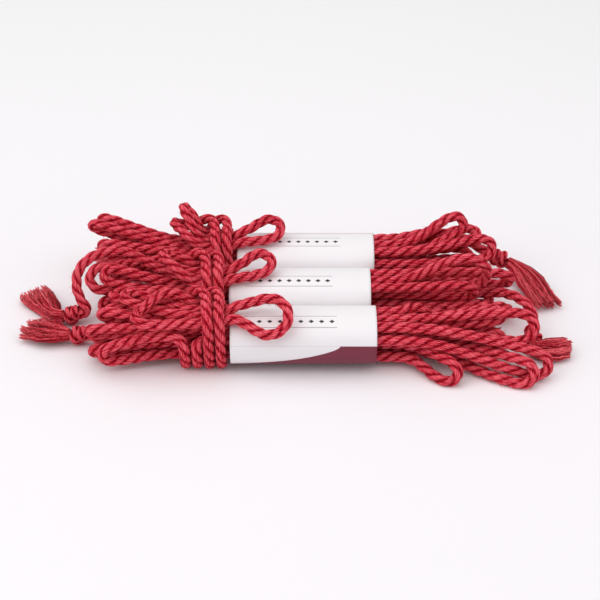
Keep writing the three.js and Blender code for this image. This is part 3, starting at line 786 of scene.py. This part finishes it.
def laidTree():
    tree, given = newTree("laidRope", {
        "Step": laid["step"] * mm,
        "Lay length": laid["layLength"] * mm,
        "Radius": laid["radius"] * mm,
        "Strand radius": laid["strandRadius"] * mm,
        "Swelling": laid["swelling"],
        "Material": None,
    })
    curve = put(tree, "GeometryNodeMeshToCurve", {"Mesh": given["Geometry"]})
    curve = put(tree, "GeometryNodeResampleCurve", {"Curve": curve, "Length": given["Step"]}, mode="LENGTH")
    along = put(tree, "GeometryNodeSplineParameter", out=1)
    tilt = along * (-2 * math.pi) / given["Lay length"]
    uneven = noise(joined(along * laid["swells"], 0.0, 0.0), 1.0, 1.0) - 0.5
    swell = uneven * (given["Swelling"] * 2.0) + 1.0
    curve = put(tree, "GeometryNodeSetCurveTilt", {"Curve": curve, "Tilt": tilt})
    line = capture(curve, {"tilt": tilt, "along": along})
    # the section: three round strands, seen from the end
    angle = put(tree, "GeometryNodeSplineParameter") * (2 * math.pi)
    third = 2 * math.pi / 3
    lobe = calc("MODULO", angle + laid["seam"], third) - third / 2
    offset = given["Radius"] - given["Strand radius"]
    sideways = offset * calc("SINE", lobe)
    inner = given["Strand radius"] * given["Strand radius"] - sideways * sideways
    reach = offset * calc("COSINE", lobe) + calc("SQRT", inner)
    ring = capture(circle(tree, laid["sides"]),
                   {"angle": angle, "crest": reach / given["Radius"], "reach": reach})
    section = moved(ring["Geometry"], joined(ring["reach"] * calc("COSINE", ring["angle"]),
                                             ring["reach"] * calc("SINE", ring["angle"]), 0.0))
    skin = sweep(line["Geometry"], section, swell)
    turn = ring["angle"] + line["tilt"]
    around = joined(calc("COSINE", turn), calc("SINE", turn), line["along"])
    skin = store(store(skin, "around", around, "FLOAT_VECTOR"), "crest", ring["crest"])
    skin = put(tree, "GeometryNodeSetShadeSmooth", {"Geometry": aboveFloor(skin)})
    return closeTree(skin, given["Material"])


# Cotton rope: crimson yarns that run nearly along the rope, with painted shade in the grooves and painted
# highlights on the crests
ropeLook = {
    "deep": (0.15, 0.001, 0.005, 1),
    "body": (0.60, 0.009, 0.032, 1),
    "pale": (1.0, 0.160, 0.205, 1),
    "stops": (0.37, 0.92),  # tones of the body's and the pale colour
    "yarns": 19.0,  # round the rope
    "wander": (160.0, 5.0),  # of the yarns: scale and amount
    "fibres": (3.6, 260.0),  # scale round and along the rope
    "fluff": 950.0,
    "patches": 42.0,
    "crest": (0.74, 0.96),  # from groove to crest, as shares of the radius
    # painted shade in the grooves and painted highlight on the crests, set by the strands' shape
    "crestLightGrooveShade": 0.64,
    # painted highlight along each yarn and painted shade between yarns
    "yarnLightAndShade": 0.17,
    "fibreTone": 1.9,
    "fluffTone": 0.6,
    "patchTone": 0.4,
    "yarnDepth": 0.00013,
    "fibreDepth": 0.00012,
    "sheen": 0.03,
    "sheenTint": (1.0, 0.55, 0.58, 1),
    "gloss": 0.10,
}


def newMaterial(name, roughness=0.9):
    material = bpy.data.materials.new(name)
    material.use_nodes = True
    tree = material.node_tree
    shader = tree.nodes["Principled BSDF"]
    shader.inputs["Roughness"].default_value = roughness
    return material, tree, shader


def attribute(tree, name, out=2):
    return put(tree, "ShaderNodeAttribute", out=out, attribute_name=name)


def objectPlace(tree):
    return put(tree, "ShaderNodeTexCoord", out=3)


def bumped(height, strength):
    return put(height.tree, "ShaderNodeBump", {"Height": height, "Strength": strength, "Distance": 1.0})


def toned(amount, look):
    # the colour that belongs to a tone, from deep over the body's colour to pale
    ramp = amount.tree.nodes.new("ShaderNodeValToRGB")
    colours = ramp.color_ramp.elements
    colours[0].color = look["deep"]
    colours.new(look["stops"][0]).color = look["body"]
    colours[-1].position = look["stops"][1]
    colours[-1].color = look["pale"]
    feed(ramp, [amount])
    return Value(amount.tree, ramp.outputs[0])


def ropeMaterial(name, look):
    material, tree, shader = newMaterial(name)
    x, y, along = split(attribute(tree, "around", 1))
    place = objectPlace(tree)
    wobble = (noise(place, look["wander"][0]) - 0.5) * look["wander"][1]
    # yarn ridges: relief in the bump, and in the colour painted highlight on each yarn and painted shade
    # between yarns
    ridge = calc("SINE", calc("ARCTAN2", y, x) * look["yarns"] + wobble)
    # fibres: noise drawn out along the rope
    across, lengthwise = look["fibres"]
    fibre = noise(joined(x * across, y * across, along * lengthwise), 1.0, 4.0, 0.6)
    fluff = noise(place, look["fluff"], 3.0, 0.6)
    patch = noise(place, look["patches"])
    # the crest term paints shade into the grooves between strands and highlights onto their crests
    tone = ridge * look["yarnLightAndShade"] + ranged(attribute(tree, "crest"), *look["crest"]) * look["crestLightGrooveShade"]
    tone = tone + (fibre - 0.5) * look["fibreTone"] + (fluff - 0.5) * look["fluffTone"]
    tone = tone + (patch - 0.5) * look["patchTone"]
    relief = ridge * look["yarnDepth"] + fibre * (look["fibreDepth"] * 2) + fluff * look["fibreDepth"]
    feed(shader, {
        "Base Color": toned(tone, look),
        "Sheen Weight": look["sheen"],
        "Sheen Roughness": 0.5,
        "Sheen Tint": look["sheenTint"],
        "Specular IOR Level": look["gloss"],
        "Normal": bumped(relief, 1.0),
    })
    return material


ropeRed = ropeMaterial("rope cotton", ropeLook)
laidRope = laidTree()
hankRopes = []
for hank, corners, ends in routes:
    line = (smoothLine(corners, bandEnd=waistOf(hank)["bandEnd"]) + shift) * mm
    piece = grow(hank["name"] + "_rope", guideLine(line), laidRope, {"Material": ropeRed})
    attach(piece, hank["name"] + "_hank")
    stretches = ("left_tail", "lower_runs", "upper_runs", "first_wraps", "slipped_bow", "second_wraps",
                 "right_tail")
    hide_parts(*[hank["name"] + "_" + stretch for stretch in stretches])
    hankRopes.append((hank, piece, line))
    print(piece.name, len(piece.data.polygons), "faces")


# Fuzz: short fibres that stand off the rope, clear of the paper and of where it slides
fuzz = {
    "density": 60000.0,  # fibres on a square metre of rope
    "length": 2.0,  # mm
    "sizes": (0.4, 1.3),  # shares of the length
    "slimness": 0.032,  # radius as a share of the length
    "arc": ((0.0, 0.0, -0.1), (0.15, 0.0, 0.35), (1.0, 0.0, 0.42)),  # a fibre of length one, from its root
    "seed": 3,
    "colour": (0.80, 0.13, 0.16, 1),
    "patches": 300.0,
}


def fuzzTree():
    tree, given = newTree("fuzz", {
        "Density": fuzz["density"],
        "Length": fuzz["length"] * mm,
        "Slimness": fuzz["slimness"],
        "Band left": 0.0,
        "Band right": 0.0,
        "Band top": 0.0,
        "Seed": fuzz["seed"],
        "Material": None,
    })
    x, y, z = split(position(tree))
    beside = calc("MAXIMUM", x < given["Band left"], x > given["Band right"])
    outside = calc("MAXIMUM", beside, z > given["Band top"])
    points, upright = put(tree, "GeometryNodeDistributePointsOnFaces",
                          {0: given["Geometry"], 1: outside, 4: given["Density"], 6: given["Seed"]}, (0, 2))
    arc = put(tree, "GeometryNodeCurveQuadraticBezier",
              {"Resolution": 3, **dict(zip(("Start", "Middle", "End"), fuzz["arc"]))})
    fibre = sweep(arc, circle(tree, 3), given["Slimness"])
    spin = joined(0.0, 0.0, chance(0.0, 2 * math.pi, given["Seed"]))
    facing = put(tree, "FunctionNodeRotateRotation", [upright, spin], rotation_space="LOCAL")
    size = given["Length"] * chance(*fuzz["sizes"], given["Seed"])
    fibres = put(tree, "GeometryNodeInstanceOnPoints", {"Points": points, "Instance": fibre,
                                                        "Rotation": facing, "Scale": size})
    fibres = put(tree, "GeometryNodeRealizeInstances", [fibres])
    return closeTree(aboveFloor(fibres), given["Material"])


def fuzzMaterial():
    material, tree, shader = newMaterial("cotton fuzz")
    tone = noise(objectPlace(tree), fuzz["patches"])
    feed(shader, {"Base Color": mixColour(tone, ropeLook["body"], fuzz["colour"]),
                  "Specular IOR Level": ropeLook["gloss"]})
    return material


fuzzFibres = fuzzTree()
fuzzRed = fuzzMaterial()
bandTop = bundleHeight + band["height"] / 2 + ropeRadius
for hank, ropePiece, line in hankRopes:
    piece = grow(hank["name"] + "_fuzz", addObject("guide", ropePiece.data), fuzzFibres, {
        "Material": fuzzRed, "Band left": (hank["bandLeft"] - fuzz["length"] + shift[0]) * mm,
        "Band right": (waistOf(hank)["bandEnd"] + shift[0]) * mm, "Band top": (bandTop + shift[2]) * mm})
    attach(piece, hank["name"] + "_hank")
    print(piece.name, len(piece.data.polygons), "faces")


# Stopper knots: the end of the rope wound round itself
stopper = {
    "turns": 1.7,
    "radius": 3.5,  # mm, to the middle of the rope
    "ropeRadius": 2.75,
    "strandRadius": 1.62,
    "layLength": 14.0,
    "step": 0.9,
    "tilt": 0.5,  # how far the turns lean
    "margin": 2.9,  # mm of the knot's length outside the first and the last turn
    "points": 60,
    "lead": 0.1,  # share of the line before the first turn and after the last
    "opening": 0.12,  # share over which the turns open and close
    "ends": 0.02,  # share that stays on the faces of the knot
    "offset": 1.3,  # radians by which the right knots are turned
    "smoothing": {"cornerReach": 1.0, "step": 0.7, "window": 1.0},
}


def knotLine(end, number):
    axis = -end["entry"]
    across = unit(np.cross([0, 0, 1], axis))
    lift = np.cross(axis, across)
    length, margin, lead = knot["length"], stopper["margin"], stopper["lead"]
    points = []
    for share in np.linspace(0, 1, stopper["points"]):
        wound = min(1, max(0, (share - lead) / (1 - 2 * lead)))
        opening = min(1, share / stopper["opening"], (1 - share) / stopper["opening"])
        opening = math.sin(opening * math.pi / 2)
        angle = number * stopper["offset"] + 2 * math.pi * stopper["turns"] * wound
        along = margin + (length - 2 * margin) * wound
        if share < lead:
            along = min(along, length * share / stopper["opening"])
        along += opening * stopper["tilt"] * stopper["radius"] * math.cos(angle)
        between = stopper["ends"] < share < 1 - stopper["ends"]
        along = min(length, max(0, along)) if between else length * round(share)
        sideways = (across * math.cos(angle) + lift * math.sin(angle)) * stopper["radius"] * opening
        points.append(end["face"] + axis * along + sideways)
    return np.array(points)


for hank, corners, ends in routes:
    for number, (side, end) in enumerate(zip(("left", "right"), ends)):
        line = (smoothLine(knotLine(end, number), stopper["smoothing"]) + shift) * mm
        piece = grow(f"{hank['name']}_{side}_stopper", guideLine(line), laidRope,
                     {"Material": ropeRed, "Radius": stopper["ropeRadius"] * mm, "Step": stopper["step"] * mm,
                      "Strand radius": stopper["strandRadius"] * mm, "Lay length": stopper["layLength"] * mm})
        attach(piece, hank["name"] + "_hank")
        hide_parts(f"{hank['name']}_{side}_knot")
print("stopper knots wound")


# Tassels: the yarns of the rope teased out beyond the knot
fray = {
    "yarns": 210,
    "locks": 8,
    "steps": 19,
    "sunk": 1.2,  # mm that the yarns start inside the knot
    "handle": 0.35,  # share of the reach that sets how the fan bends
    "beyond": 0.08,  # share of the reach by which the line goes on past the tip
    "linePoints": 24,
    "neck": 3.3,  # mm, half the bundle where it leaves the knot
    "spread": {"left": 10.5, "right": 9.6},  # mm, half the fan at its end
    "thick": {"left": 5.0, "right": 4.6},  # mm, half its thickness there
    "pale": {"left": 0.55, "right": 0.25},  # how far the ends have faded
    "yarn": 0.44,  # mm, radius of one yarn
    "fibre": 0.16,  # mm, radius of a loose fibre
    "fibres": 0.3,  # share of the yarns that are loose fibres
    "shortest": 0.84,  # share of the line that a yarn takes up
    "longest": 0.90,
    "lockReach": (-0.05, 0.05),  # how much longer or shorter a lock is as a whole
    "lockOffset": (-0.07, 0.07),
    "lockLift": (-0.8, 0.8),
    "gather": (0.8, 0.6),  # how far the yarns of a lock stay apart at its end, sideways and up
    "wander": {"left": 2.4, "right": 1.9},  # mm
    "fibreWander": (2.5, 2.0),  # how much more a loose fibre wanders, and what each yarn does
    "wanderWaves": 5.0,  # scale of the wandering along a yarn
    "wanderPower": 0.7,  # how it grows along a yarn
    "bend": 2.5,  # mm that a lock bends aside
    "bendPower": 3.0,
    "opening": (-0.1, 0.55),  # shares of a yarn between which the fan opens
    "locking": (0.25, 1.0),  # and those between which the locks draw together
    "tones": (0.7, 0.3),  # spread of the yarns' and of the locks' tones
    "resting": 1.1,  # yarn radii between the floor and the middle of a yarn
    "lift": 0.0014,  # m more for the outer yarns
    "taper": (0.8, 0.6),  # from this share of a yarn it thins to this share of its thickness
    "wallGap": 0.7,  # mm from the middle of a yarn to the wall between two tassels
    "seeds": ((5, 6), (7, 8), (9, 21)),  # left and right end of each hank
    # mm, where the yarns end beyond the tip of their solid; the two left tassels lie side by side
    "lean": {"front_left": (0, -4.5, 0), "middle_left": (0, 4.5, 0), "back_right": (5, -4, 0)},
}


def tasselLine(end, lean):
    # the middle of the fan, a little longer than the solid
    away = -end["entry"]
    tip = end["tip"] + lean
    start = end["neck"] - away * fray["sunk"]
    reach = np.linalg.norm(tip - start)
    out = start + away * reach * fray["handle"]
    back = tip + (start - tip) * fray["handle"]
    t = np.linspace(0, 1, fray["linePoints"])[:, None]
    line = (1 - t) ** 3 * start + 3 * t * (1 - t) ** 2 * out + 3 * t ** 2 * (1 - t) * back + t ** 3 * tip
    beyond = unit(line[-1] - line[-2]) * reach * fray["beyond"]
    return np.vstack([line, line[-1] + beyond])


def tasselTree():
    tree, given = newTree("tassel", {
        "Yarns": fray["yarns"],
        "Locks": fray["locks"],
        "Steps": fray["steps"],
        "Neck": fray["neck"] * mm,
        "Spread": fray["spread"]["right"] * mm,
        "Thickness": fray["thick"]["right"] * mm,
        "Yarn radius": fray["yarn"] * mm,
        "Fibre radius": fray["fibre"] * mm,
        "Fibres": fray["fibres"],
        "Wander": fray["wander"]["right"] * mm,
        "Bend": fray["bend"] * mm,
        "Wall point": (0.0, 0.0, 0.0),
        "Wall normal": (0.0, 0.0, 0.0),
        "Seed": 1,
        "Material": None,
    })

    def draw(low, high, number, key=None):
        # each draw has a seed of its own
        return chance(low, high, given["Seed"] + float(number * 17), key)

    # where each yarn leaves the knot, as a place in a round section
    ring = calc("SQRT", draw(0.02, 1.0, 1))
    turn = draw(0.0, 2 * math.pi, 2)
    out = ring * calc("COSINE", turn)
    # neighbouring yarns hang together in locks; the factor keeps the outermost yarn in the last one
    count = given["Locks"] * 0.5
    lock = calc("FLOOR", (out + 1.0) * (count * 0.9999))
    middle = (lock + 0.5) / count - 1.0
    points = put(tree, "GeometryNodePoints", {"Count": given["Yarns"]})
    yarn = capture(points, {
        "out": out,
        "up": ring * calc("SINE", turn),
        "middle": middle + draw(*fray["lockOffset"], 3, lock),
        "lift": draw(*fray["lockLift"], 4, lock),
        "bend": draw(-1.0, 1.0, 5, lock),
        "reach": draw(fray["shortest"], fray["longest"], 6) + draw(*fray["lockReach"], 7, lock),
        "tone": draw(0.0, fray["tones"][0], 8) + draw(0.0, fray["tones"][1], 9, lock),
        "own": draw(0.0, 100.0, 10),
        "fibre": draw(0.0, 1.0, 11) < given["Fibres"],
    })
    line = put(tree, "GeometryNodeCurvePrimitiveLine", {"Start": (0.0, 0.0, 0.0), "End": (0.0, 0.0, 1.0)})
    line = put(tree, "GeometryNodeResampleCurve", {"Curve": line, "Count": given["Steps"]}, mode="COUNT")
    yarns = put(tree, "GeometryNodeInstanceOnPoints", {"Points": yarn["Geometry"], "Instance": line})
    yarns = put(tree, "GeometryNodeRealizeInstances", [yarns])
    yarns, share = capture(yarns, {"share": split(position(tree))[2]}).values()
    guide = put(tree, "GeometryNodeMeshToCurve", {"Mesh": given["Geometry"]})
    along = share * (yarn["reach"] / (1 + fray["beyond"]))
    centre, tangent = put(tree, "GeometryNodeSampleCurve", {"Curves": guide, "Factor": along},
                          ("Position", "Tangent"), mode="FACTOR")
    across = vectorCalc("NORMALIZE", vectorCalc("CROSS_PRODUCT", (0.0, 0.0, 1.0), tangent))
    lift = vectorCalc("CROSS_PRODUCT", tangent, across)
    fanned = ranged(share, *fray["opening"], kind="SMOOTHSTEP")
    locked = ranged(share, *fray["locking"], kind="SMOOTHSTEP")
    sideways = blend(fray["gather"][0], yarn["middle"], yarn["out"])
    sideways = blend(locked, yarn["out"], sideways) * blend(fanned, given["Neck"], given["Spread"])
    sideways = yarn["bend"] * given["Bend"] * share ** fray["bendPower"] + sideways
    height = blend(fray["gather"][1], yarn["lift"], yarn["up"])
    height = blend(locked, yarn["up"], height) * blend(fanned, given["Neck"], given["Thickness"])
    place = vectorCalc("ADD", centre, vectorCalc("ADD", scaled(across, sideways), scaled(lift, height)))
    # each yarn wanders a little more the farther it is from the knot
    drift = noise(joined(yarn["own"], share * fray["wanderWaves"], 0.0), 1.0, out=1)
    more, least = fray["fibreWander"]
    far = given["Wander"] * (yarn["fibre"] * more + least)
    drift = scaled(vectorCalc("SUBTRACT", drift, (0.5, 0.5, 0.5)), far * share ** fray["wanderPower"])
    place = vectorCalc("ADD", place, drift)
    # a yarn that would cross the wall between two tassels lies along it instead
    clear = vectorCalc("DOT_PRODUCT", vectorCalc("SUBTRACT", place, given["Wall point"]),
                       given["Wall normal"], out=1)
    short = calc("MAXIMUM", fray["wallGap"] * mm - clear, 0.0)
    x, y, z = split(vectorCalc("ADD", place, scaled(given["Wall normal"], short)))
    ground = given["Yarn radius"] * fray["resting"] + calc("ABSOLUTE", yarn["up"]) * fray["lift"]
    yarns = moved(yarns, joined(x, y, calc("MAXIMUM", z, ground)))
    start, thinnest = fray["taper"]
    thin = ranged(share, start, 1.0, 1.0, thinnest) * blend(yarn["fibre"], given["Yarn radius"],
                                                            given["Fibre radius"])
    skin = sweep(yarns, circle(tree, 6), thin)
    skin = store(store(skin, "tone", yarn["tone"]), "share", share)
    return closeTree(put(tree, "GeometryNodeSetShadeSmooth", {"Geometry": skin}), given["Material"])


tasselLook = {
    "deep": (0.17, 0.001, 0.006, 1),
    "body": (0.52, 0.014, 0.034, 1),
    "pale": (0.92, 0.17, 0.20, 1),
    "stops": (0.45, 1.0),
    "fluff": 700.0,
    "fluffTone": 0.9,
    "fadeFrom": 0.6,  # share of a yarn
    "gloss": 0.12,
    "sheen": 0.08,
}


def tasselMaterial(name, pale, look):
    material, tree, shader = newMaterial(name)
    fluff = noise(objectPlace(tree), look["fluff"], 3.0)
    colour = toned((fluff - 0.5) * look["fluffTone"] + attribute(tree, "tone"), look)
    faded = ranged(attribute(tree, "share"), look["fadeFrom"], 1.0, 0.0, pale)
    feed(shader, {"Base Color": mixColour(faded, colour, look["pale"]), "Specular IOR Level": look["gloss"],
                  "Sheen Weight": look["sheen"]})
    return material


def wallBetween(first, second):
    # an upright plane halfway between two tassels, and its direction towards the first one
    start = (first["neck"] + second["neck"]) / 2
    along = (first["tip"] + second["tip"]) / 2 - start
    normal = unit(np.cross([0, 0, 1], along))
    return (start + shift) * mm, normal * np.sign(np.dot(first["tip"] - start, normal))


tasselYarns = tasselTree()
leftEnds = {hank["name"]: ends[0] for hank, corners, ends in routes}
walls = {"front_left": wallBetween(leftEnds["front"], leftEnds["middle"]),
         "middle_left": wallBetween(leftEnds["middle"], leftEnds["front"])}
tasselReds = {side: tasselMaterial(side + " frayed cotton", fray["pale"][side], tasselLook)
              for side in ("left", "right")}
for (hank, corners, ends), seeds in zip(routes, fray["seeds"]):
    for side, end, seed in zip(("left", "right"), ends, seeds):
        name = f"{hank['name']}_{side}"
        line = (tasselLine(end, fray["lean"].get(name, (0, 0, 0))) + shift) * mm
        wallPoint, wallNormal = walls.get(name, ((0, 0, 0), (0, 0, 0)))
        piece = grow(name + "_yarns", guideLine(line), tasselYarns,
                     {"Wall point": tuple(wallPoint), "Wall normal": tuple(wallNormal), "Seed": seed,
                      "Material": tasselReds[side], "Spread": fray["spread"][side] * mm,
                      "Thickness": fray["thick"][side] * mm, "Wander": fray["wander"][side] * mm})
        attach(piece, hank["name"] + "_hank")
        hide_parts(name + "_tassel")
        print(piece.name, len(piece.data.polygons), "faces")


# Paper bands
paper = {
    "around": 144,
    "along": 56,
    "outset": 0.12,  # mm outside the outline of the solid
    "thickness": 0.16,
    "press": 0.06,  # mm, how far strands show through
    "strands": 14,  # that show through, round the band
    "drift": (0.6, 3),  # how far and how often the strands' lines wander along the band
    "belly": 0.12,  # mm
    "bellies": 3,  # round the band
    "waist": 0.06,  # mm
    "waists": 2,  # round the band
}


def bandPiece(hank, material):
    outline = bandOutline(hank, paper["around"], -paper["outset"])
    centre = outline.mean(0)
    rng = np.random.default_rng(len(hank["name"]))
    waves = rng.uniform(0, 2 * math.pi, 4)
    xs = np.linspace(hank["bandLeft"], hank["bandLeft"] + band["length"], paper["along"] + 1)
    count = paper["around"]
    vertices = []
    for i, x in enumerate(xs):
        share = i / paper["along"]
        drift = paper["drift"][0] * math.sin(paper["drift"][1] * share + waves[1])
        for k, (y, z) in enumerate(outline):
            angle = 2 * math.pi * k / count
            # strands press through a little, and the paper bellies slightly between its ends
            press = -paper["press"] * (0.5 + 0.5 * math.cos(paper["strands"] * angle + waves[0] + drift))
            belly = (paper["belly"] * math.sin(math.pi * share)
                     * math.sin(paper["bellies"] * angle + waves[2]))
            edge = (-paper["waist"] * math.exp(-((share - 0.5) / 0.5) ** 2)
                    * math.sin(paper["waists"] * angle + waves[3]))
            scale = 1 + (press + belly + edge) / (band["height"] / 2)
            vertices.append(((x + shift[0]) * mm, (centre[0] + (y - centre[0]) * scale + shift[1]) * mm,
                             (centre[1] + (z - centre[1]) * scale + shift[2]) * mm))
    faces = []
    for i in range(paper["along"]):
        row, nextRow = i * count, (i + 1) * count
        faces += [(row + k, row + (k + 1) % count, nextRow + (k + 1) % count, nextRow + k)
                  for k in range(count)]
    mesh = bpy.data.meshes.new(hank["name"] + "_paper")
    mesh.from_pydata(vertices, [], faces)
    steps = np.linalg.norm(np.diff(np.vstack([outline, outline[:1]]), axis=0), axis=1)
    girth = np.concatenate([[0], np.cumsum(steps)]) * mm
    uv = mesh.uv_layers.new(name="paper")
    for polygon in mesh.polygons:
        i, k = divmod(polygon.index, count)
        corners = ((i, k), (i, k + 1), (i + 1, k + 1), (i + 1, k))
        for loop, (a, b) in zip(polygon.loop_indices, corners):
            uv.data[loop].uv = (band["length"] * mm * a / paper["along"], girth[b])
        polygon.use_smooth = True
    mesh.materials.append(material)
    piece = addObject(hank["name"] + "_paper", mesh)
    thick = piece.modifiers.new("thickness", "SOLIDIFY")
    thick.thickness = paper["thickness"] * mm
    thick.offset = -1
    return piece


paperLook = {
    "white": (0.90, 0.87, 0.89, 1),
    "grain": (0.80, 0.77, 0.80, 1),
    "maroon": (0.20, 0.026, 0.052, 1),
    "pink": (0.60, 0.24, 0.31, 1),
    "grey": (0.34, 0.31, 0.33, 1),
    # a painted shade line where the paper is folded
    "creaseAndShade": (0.70, 0.66, 0.69, 1),
    "charcoal": (0.05, 0.045, 0.05, 1),
    "sweepDepth": 0.0105,  # m of girth over which the left end of a patch runs out
    "sweepPower": 1.6,
    "grains": (900.0, 0.06, 0.00002),  # scale, tone and depth
    "creases": (60.0, 0.00035, 0.6),  # scale, depth and distortion
    "relief": 0.6,
    "roughness": 0.5,
    "gloss": 0.35,
}


def paperMaterial(name, patches, ornament, look):
    # patches are low and high girth from the far side (+Y) over the top, the left and right end, how far
    # the left end runs out towards the high side, and the colour; the ornament is a row of lozenges
    material, tree, shader = newMaterial(name, look["roughness"])
    u, v = split(put(tree, "ShaderNodeUVMap", uv_map="paper"))[:2]
    place = objectPlace(tree)
    grain = noise(place, look["grains"][0], 4.0)
    scale, creaseDepth, distortion = look["creases"]
    creaseAndShade = noise(place, scale, 3.0, distortion=distortion)
    colour = mixColour(grain * look["grains"][1], look["white"], look["grain"])
    for low, high, left, right, run, key in patches:
        depth = calc("MAXIMUM", (v - low) / look["sweepDepth"], 0.0)
        edge = depth ** look["sweepPower"] * -run + left
        inside = (v > low) * (v < high) * (u > edge) * (u < right)
        colour = mixColour(inside, colour, look[key])
    start, pitchAlong, count, middle, half, slant = ornament
    step = (u - start) / pitchAlong
    aside = calc("ABSOLUTE", calc("FRACT", step) - 0.5) * (pitchAlong * slant)
    reach = aside + calc("ABSOLUTE", v - middle)
    inside = (reach < half) * (step > 0.0) * (step < float(count))
    relief = creaseAndShade * creaseDepth + grain * look["grains"][2]
    feed(shader, {
        "Base Color": mixColour(inside, colour, look["charcoal"]),
        "Specular IOR Level": look["gloss"],
        "Normal": bumped(relief, look["relief"]),
    })
    return material


# m of girth and along the band
printing = {
    "front": {"top": 0.0300, "left": 0.008, "right": 0.062,
              # the first patch is a thin painted shade line along the fold above the maroon print
              "patches": [(0.0497, 0.0500, -0.01, 0.090, 0.0, "creaseAndShade"),
                          (0.0500, 0.0800, 0.0638, 0.090, 0.031, "maroon")]},
    "middle": {"top": 0.0285, "left": 0.010, "right": 0.062, "patches": []},
    "back": {"top": 0.0255, "left": 0.012, "right": 0.064,
             "patches": [(0.0188, 0.0194, -0.01, 0.090, 0.0, "pink")]},
}
rule = {"thickness": 0.0004, "apart": 0.0084}
lozenges = {"count": 9, "fromTop": 0.0044, "half": 0.0013, "slant": 0.8}


def plainPrint(top, left, right, patches):
    # two thin rules, with a row of lozenges between them
    rules = [(edge, edge + rule["thickness"], left, right, 0.0, "grey")
             for edge in (top, top + rule["apart"])]
    count = lozenges["count"]
    return rules + patches, (left, (right - left) / count, count, top + lozenges["fromTop"],
                             lozenges["half"], lozenges["slant"])


for hank in hanks:
    patches, ornament = plainPrint(**printing[hank["name"]])
    piece = bandPiece(hank, paperMaterial(hank["name"] + " paper", patches, ornament, paperLook))
    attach(piece, hank["name"] + "_sleeve")
    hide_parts(hank["name"] + "_band")
print("paper bands made")


# Floor, backdrop and light
room = {
    "floor": (0.945, 0.915, 0.945, 1),
    "far": (0.995, 0.99, 0.995, 1),
    "fade": (0.05, 0.45),  # m behind the middle, from one colour to the other
    "size": 6.0,
    "height": -0.0001,
    "roughness": 0.75,
    "gloss": 0.1,
    "sky": 0.50,
}
lamps = {
    "top softbox": {"place": (-0.1, -0.05, 1.2), "size": (1.6, 1.4), "power": 7.4},
    "left softbox": {"place": (-0.9, -0.5, 0.8), "size": (0.9, 0.9), "power": 3.6},
    "right softbox": {"place": (0.9, -0.3, 0.7), "size": (0.9, 0.9), "power": 2.1},
}
lampTarget = (0, 0, 0.01)


def addFloor():
    mesh = bpy.data.meshes.new("floor")
    half = room["size"] / 2
    corners = ((-half, -half), (half, -half), (half, half), (-half, half))
    mesh.from_pydata([(x, y, room["height"]) for x, y in corners], [], [(0, 1, 2, 3)])
    material, tree, shader = newMaterial("floor white", room["roughness"])
    # the floor's colour lightens towards the back: painted light, where the backdrop is lit brighter
    far = ranged(split(objectPlace(tree))[1], *room["fade"])
    feed(shader, {"Base Color": mixColour(far, room["floor"], room["far"]),
                  "Specular IOR Level": room["gloss"]})
    mesh.materials.append(material)
    floor = addObject("floor", mesh)


def addLamp(name, place, size, power):
    data = bpy.data.lights.new(name, "AREA")
    data.shape = "RECTANGLE"
    data.size, data.size_y = size
    data.energy = power
    lamp = addObject(name, data)
    lamp.location = place
    lamp.rotation_euler = (Vector(lampTarget) - Vector(place)).to_track_quat("-Z", "Y").to_euler()


addFloor()
for name, values in lamps.items():
    addLamp(name, **values)
world = bpy.data.worlds.new("world")
bpy.context.scene.world = world
world.use_nodes = True
feed(world.node_tree.nodes["Background"], [(1, 1, 1, 1), room["sky"]])
bpy.context.scene.view_settings.view_transform = "Standard"
print("stage lit")
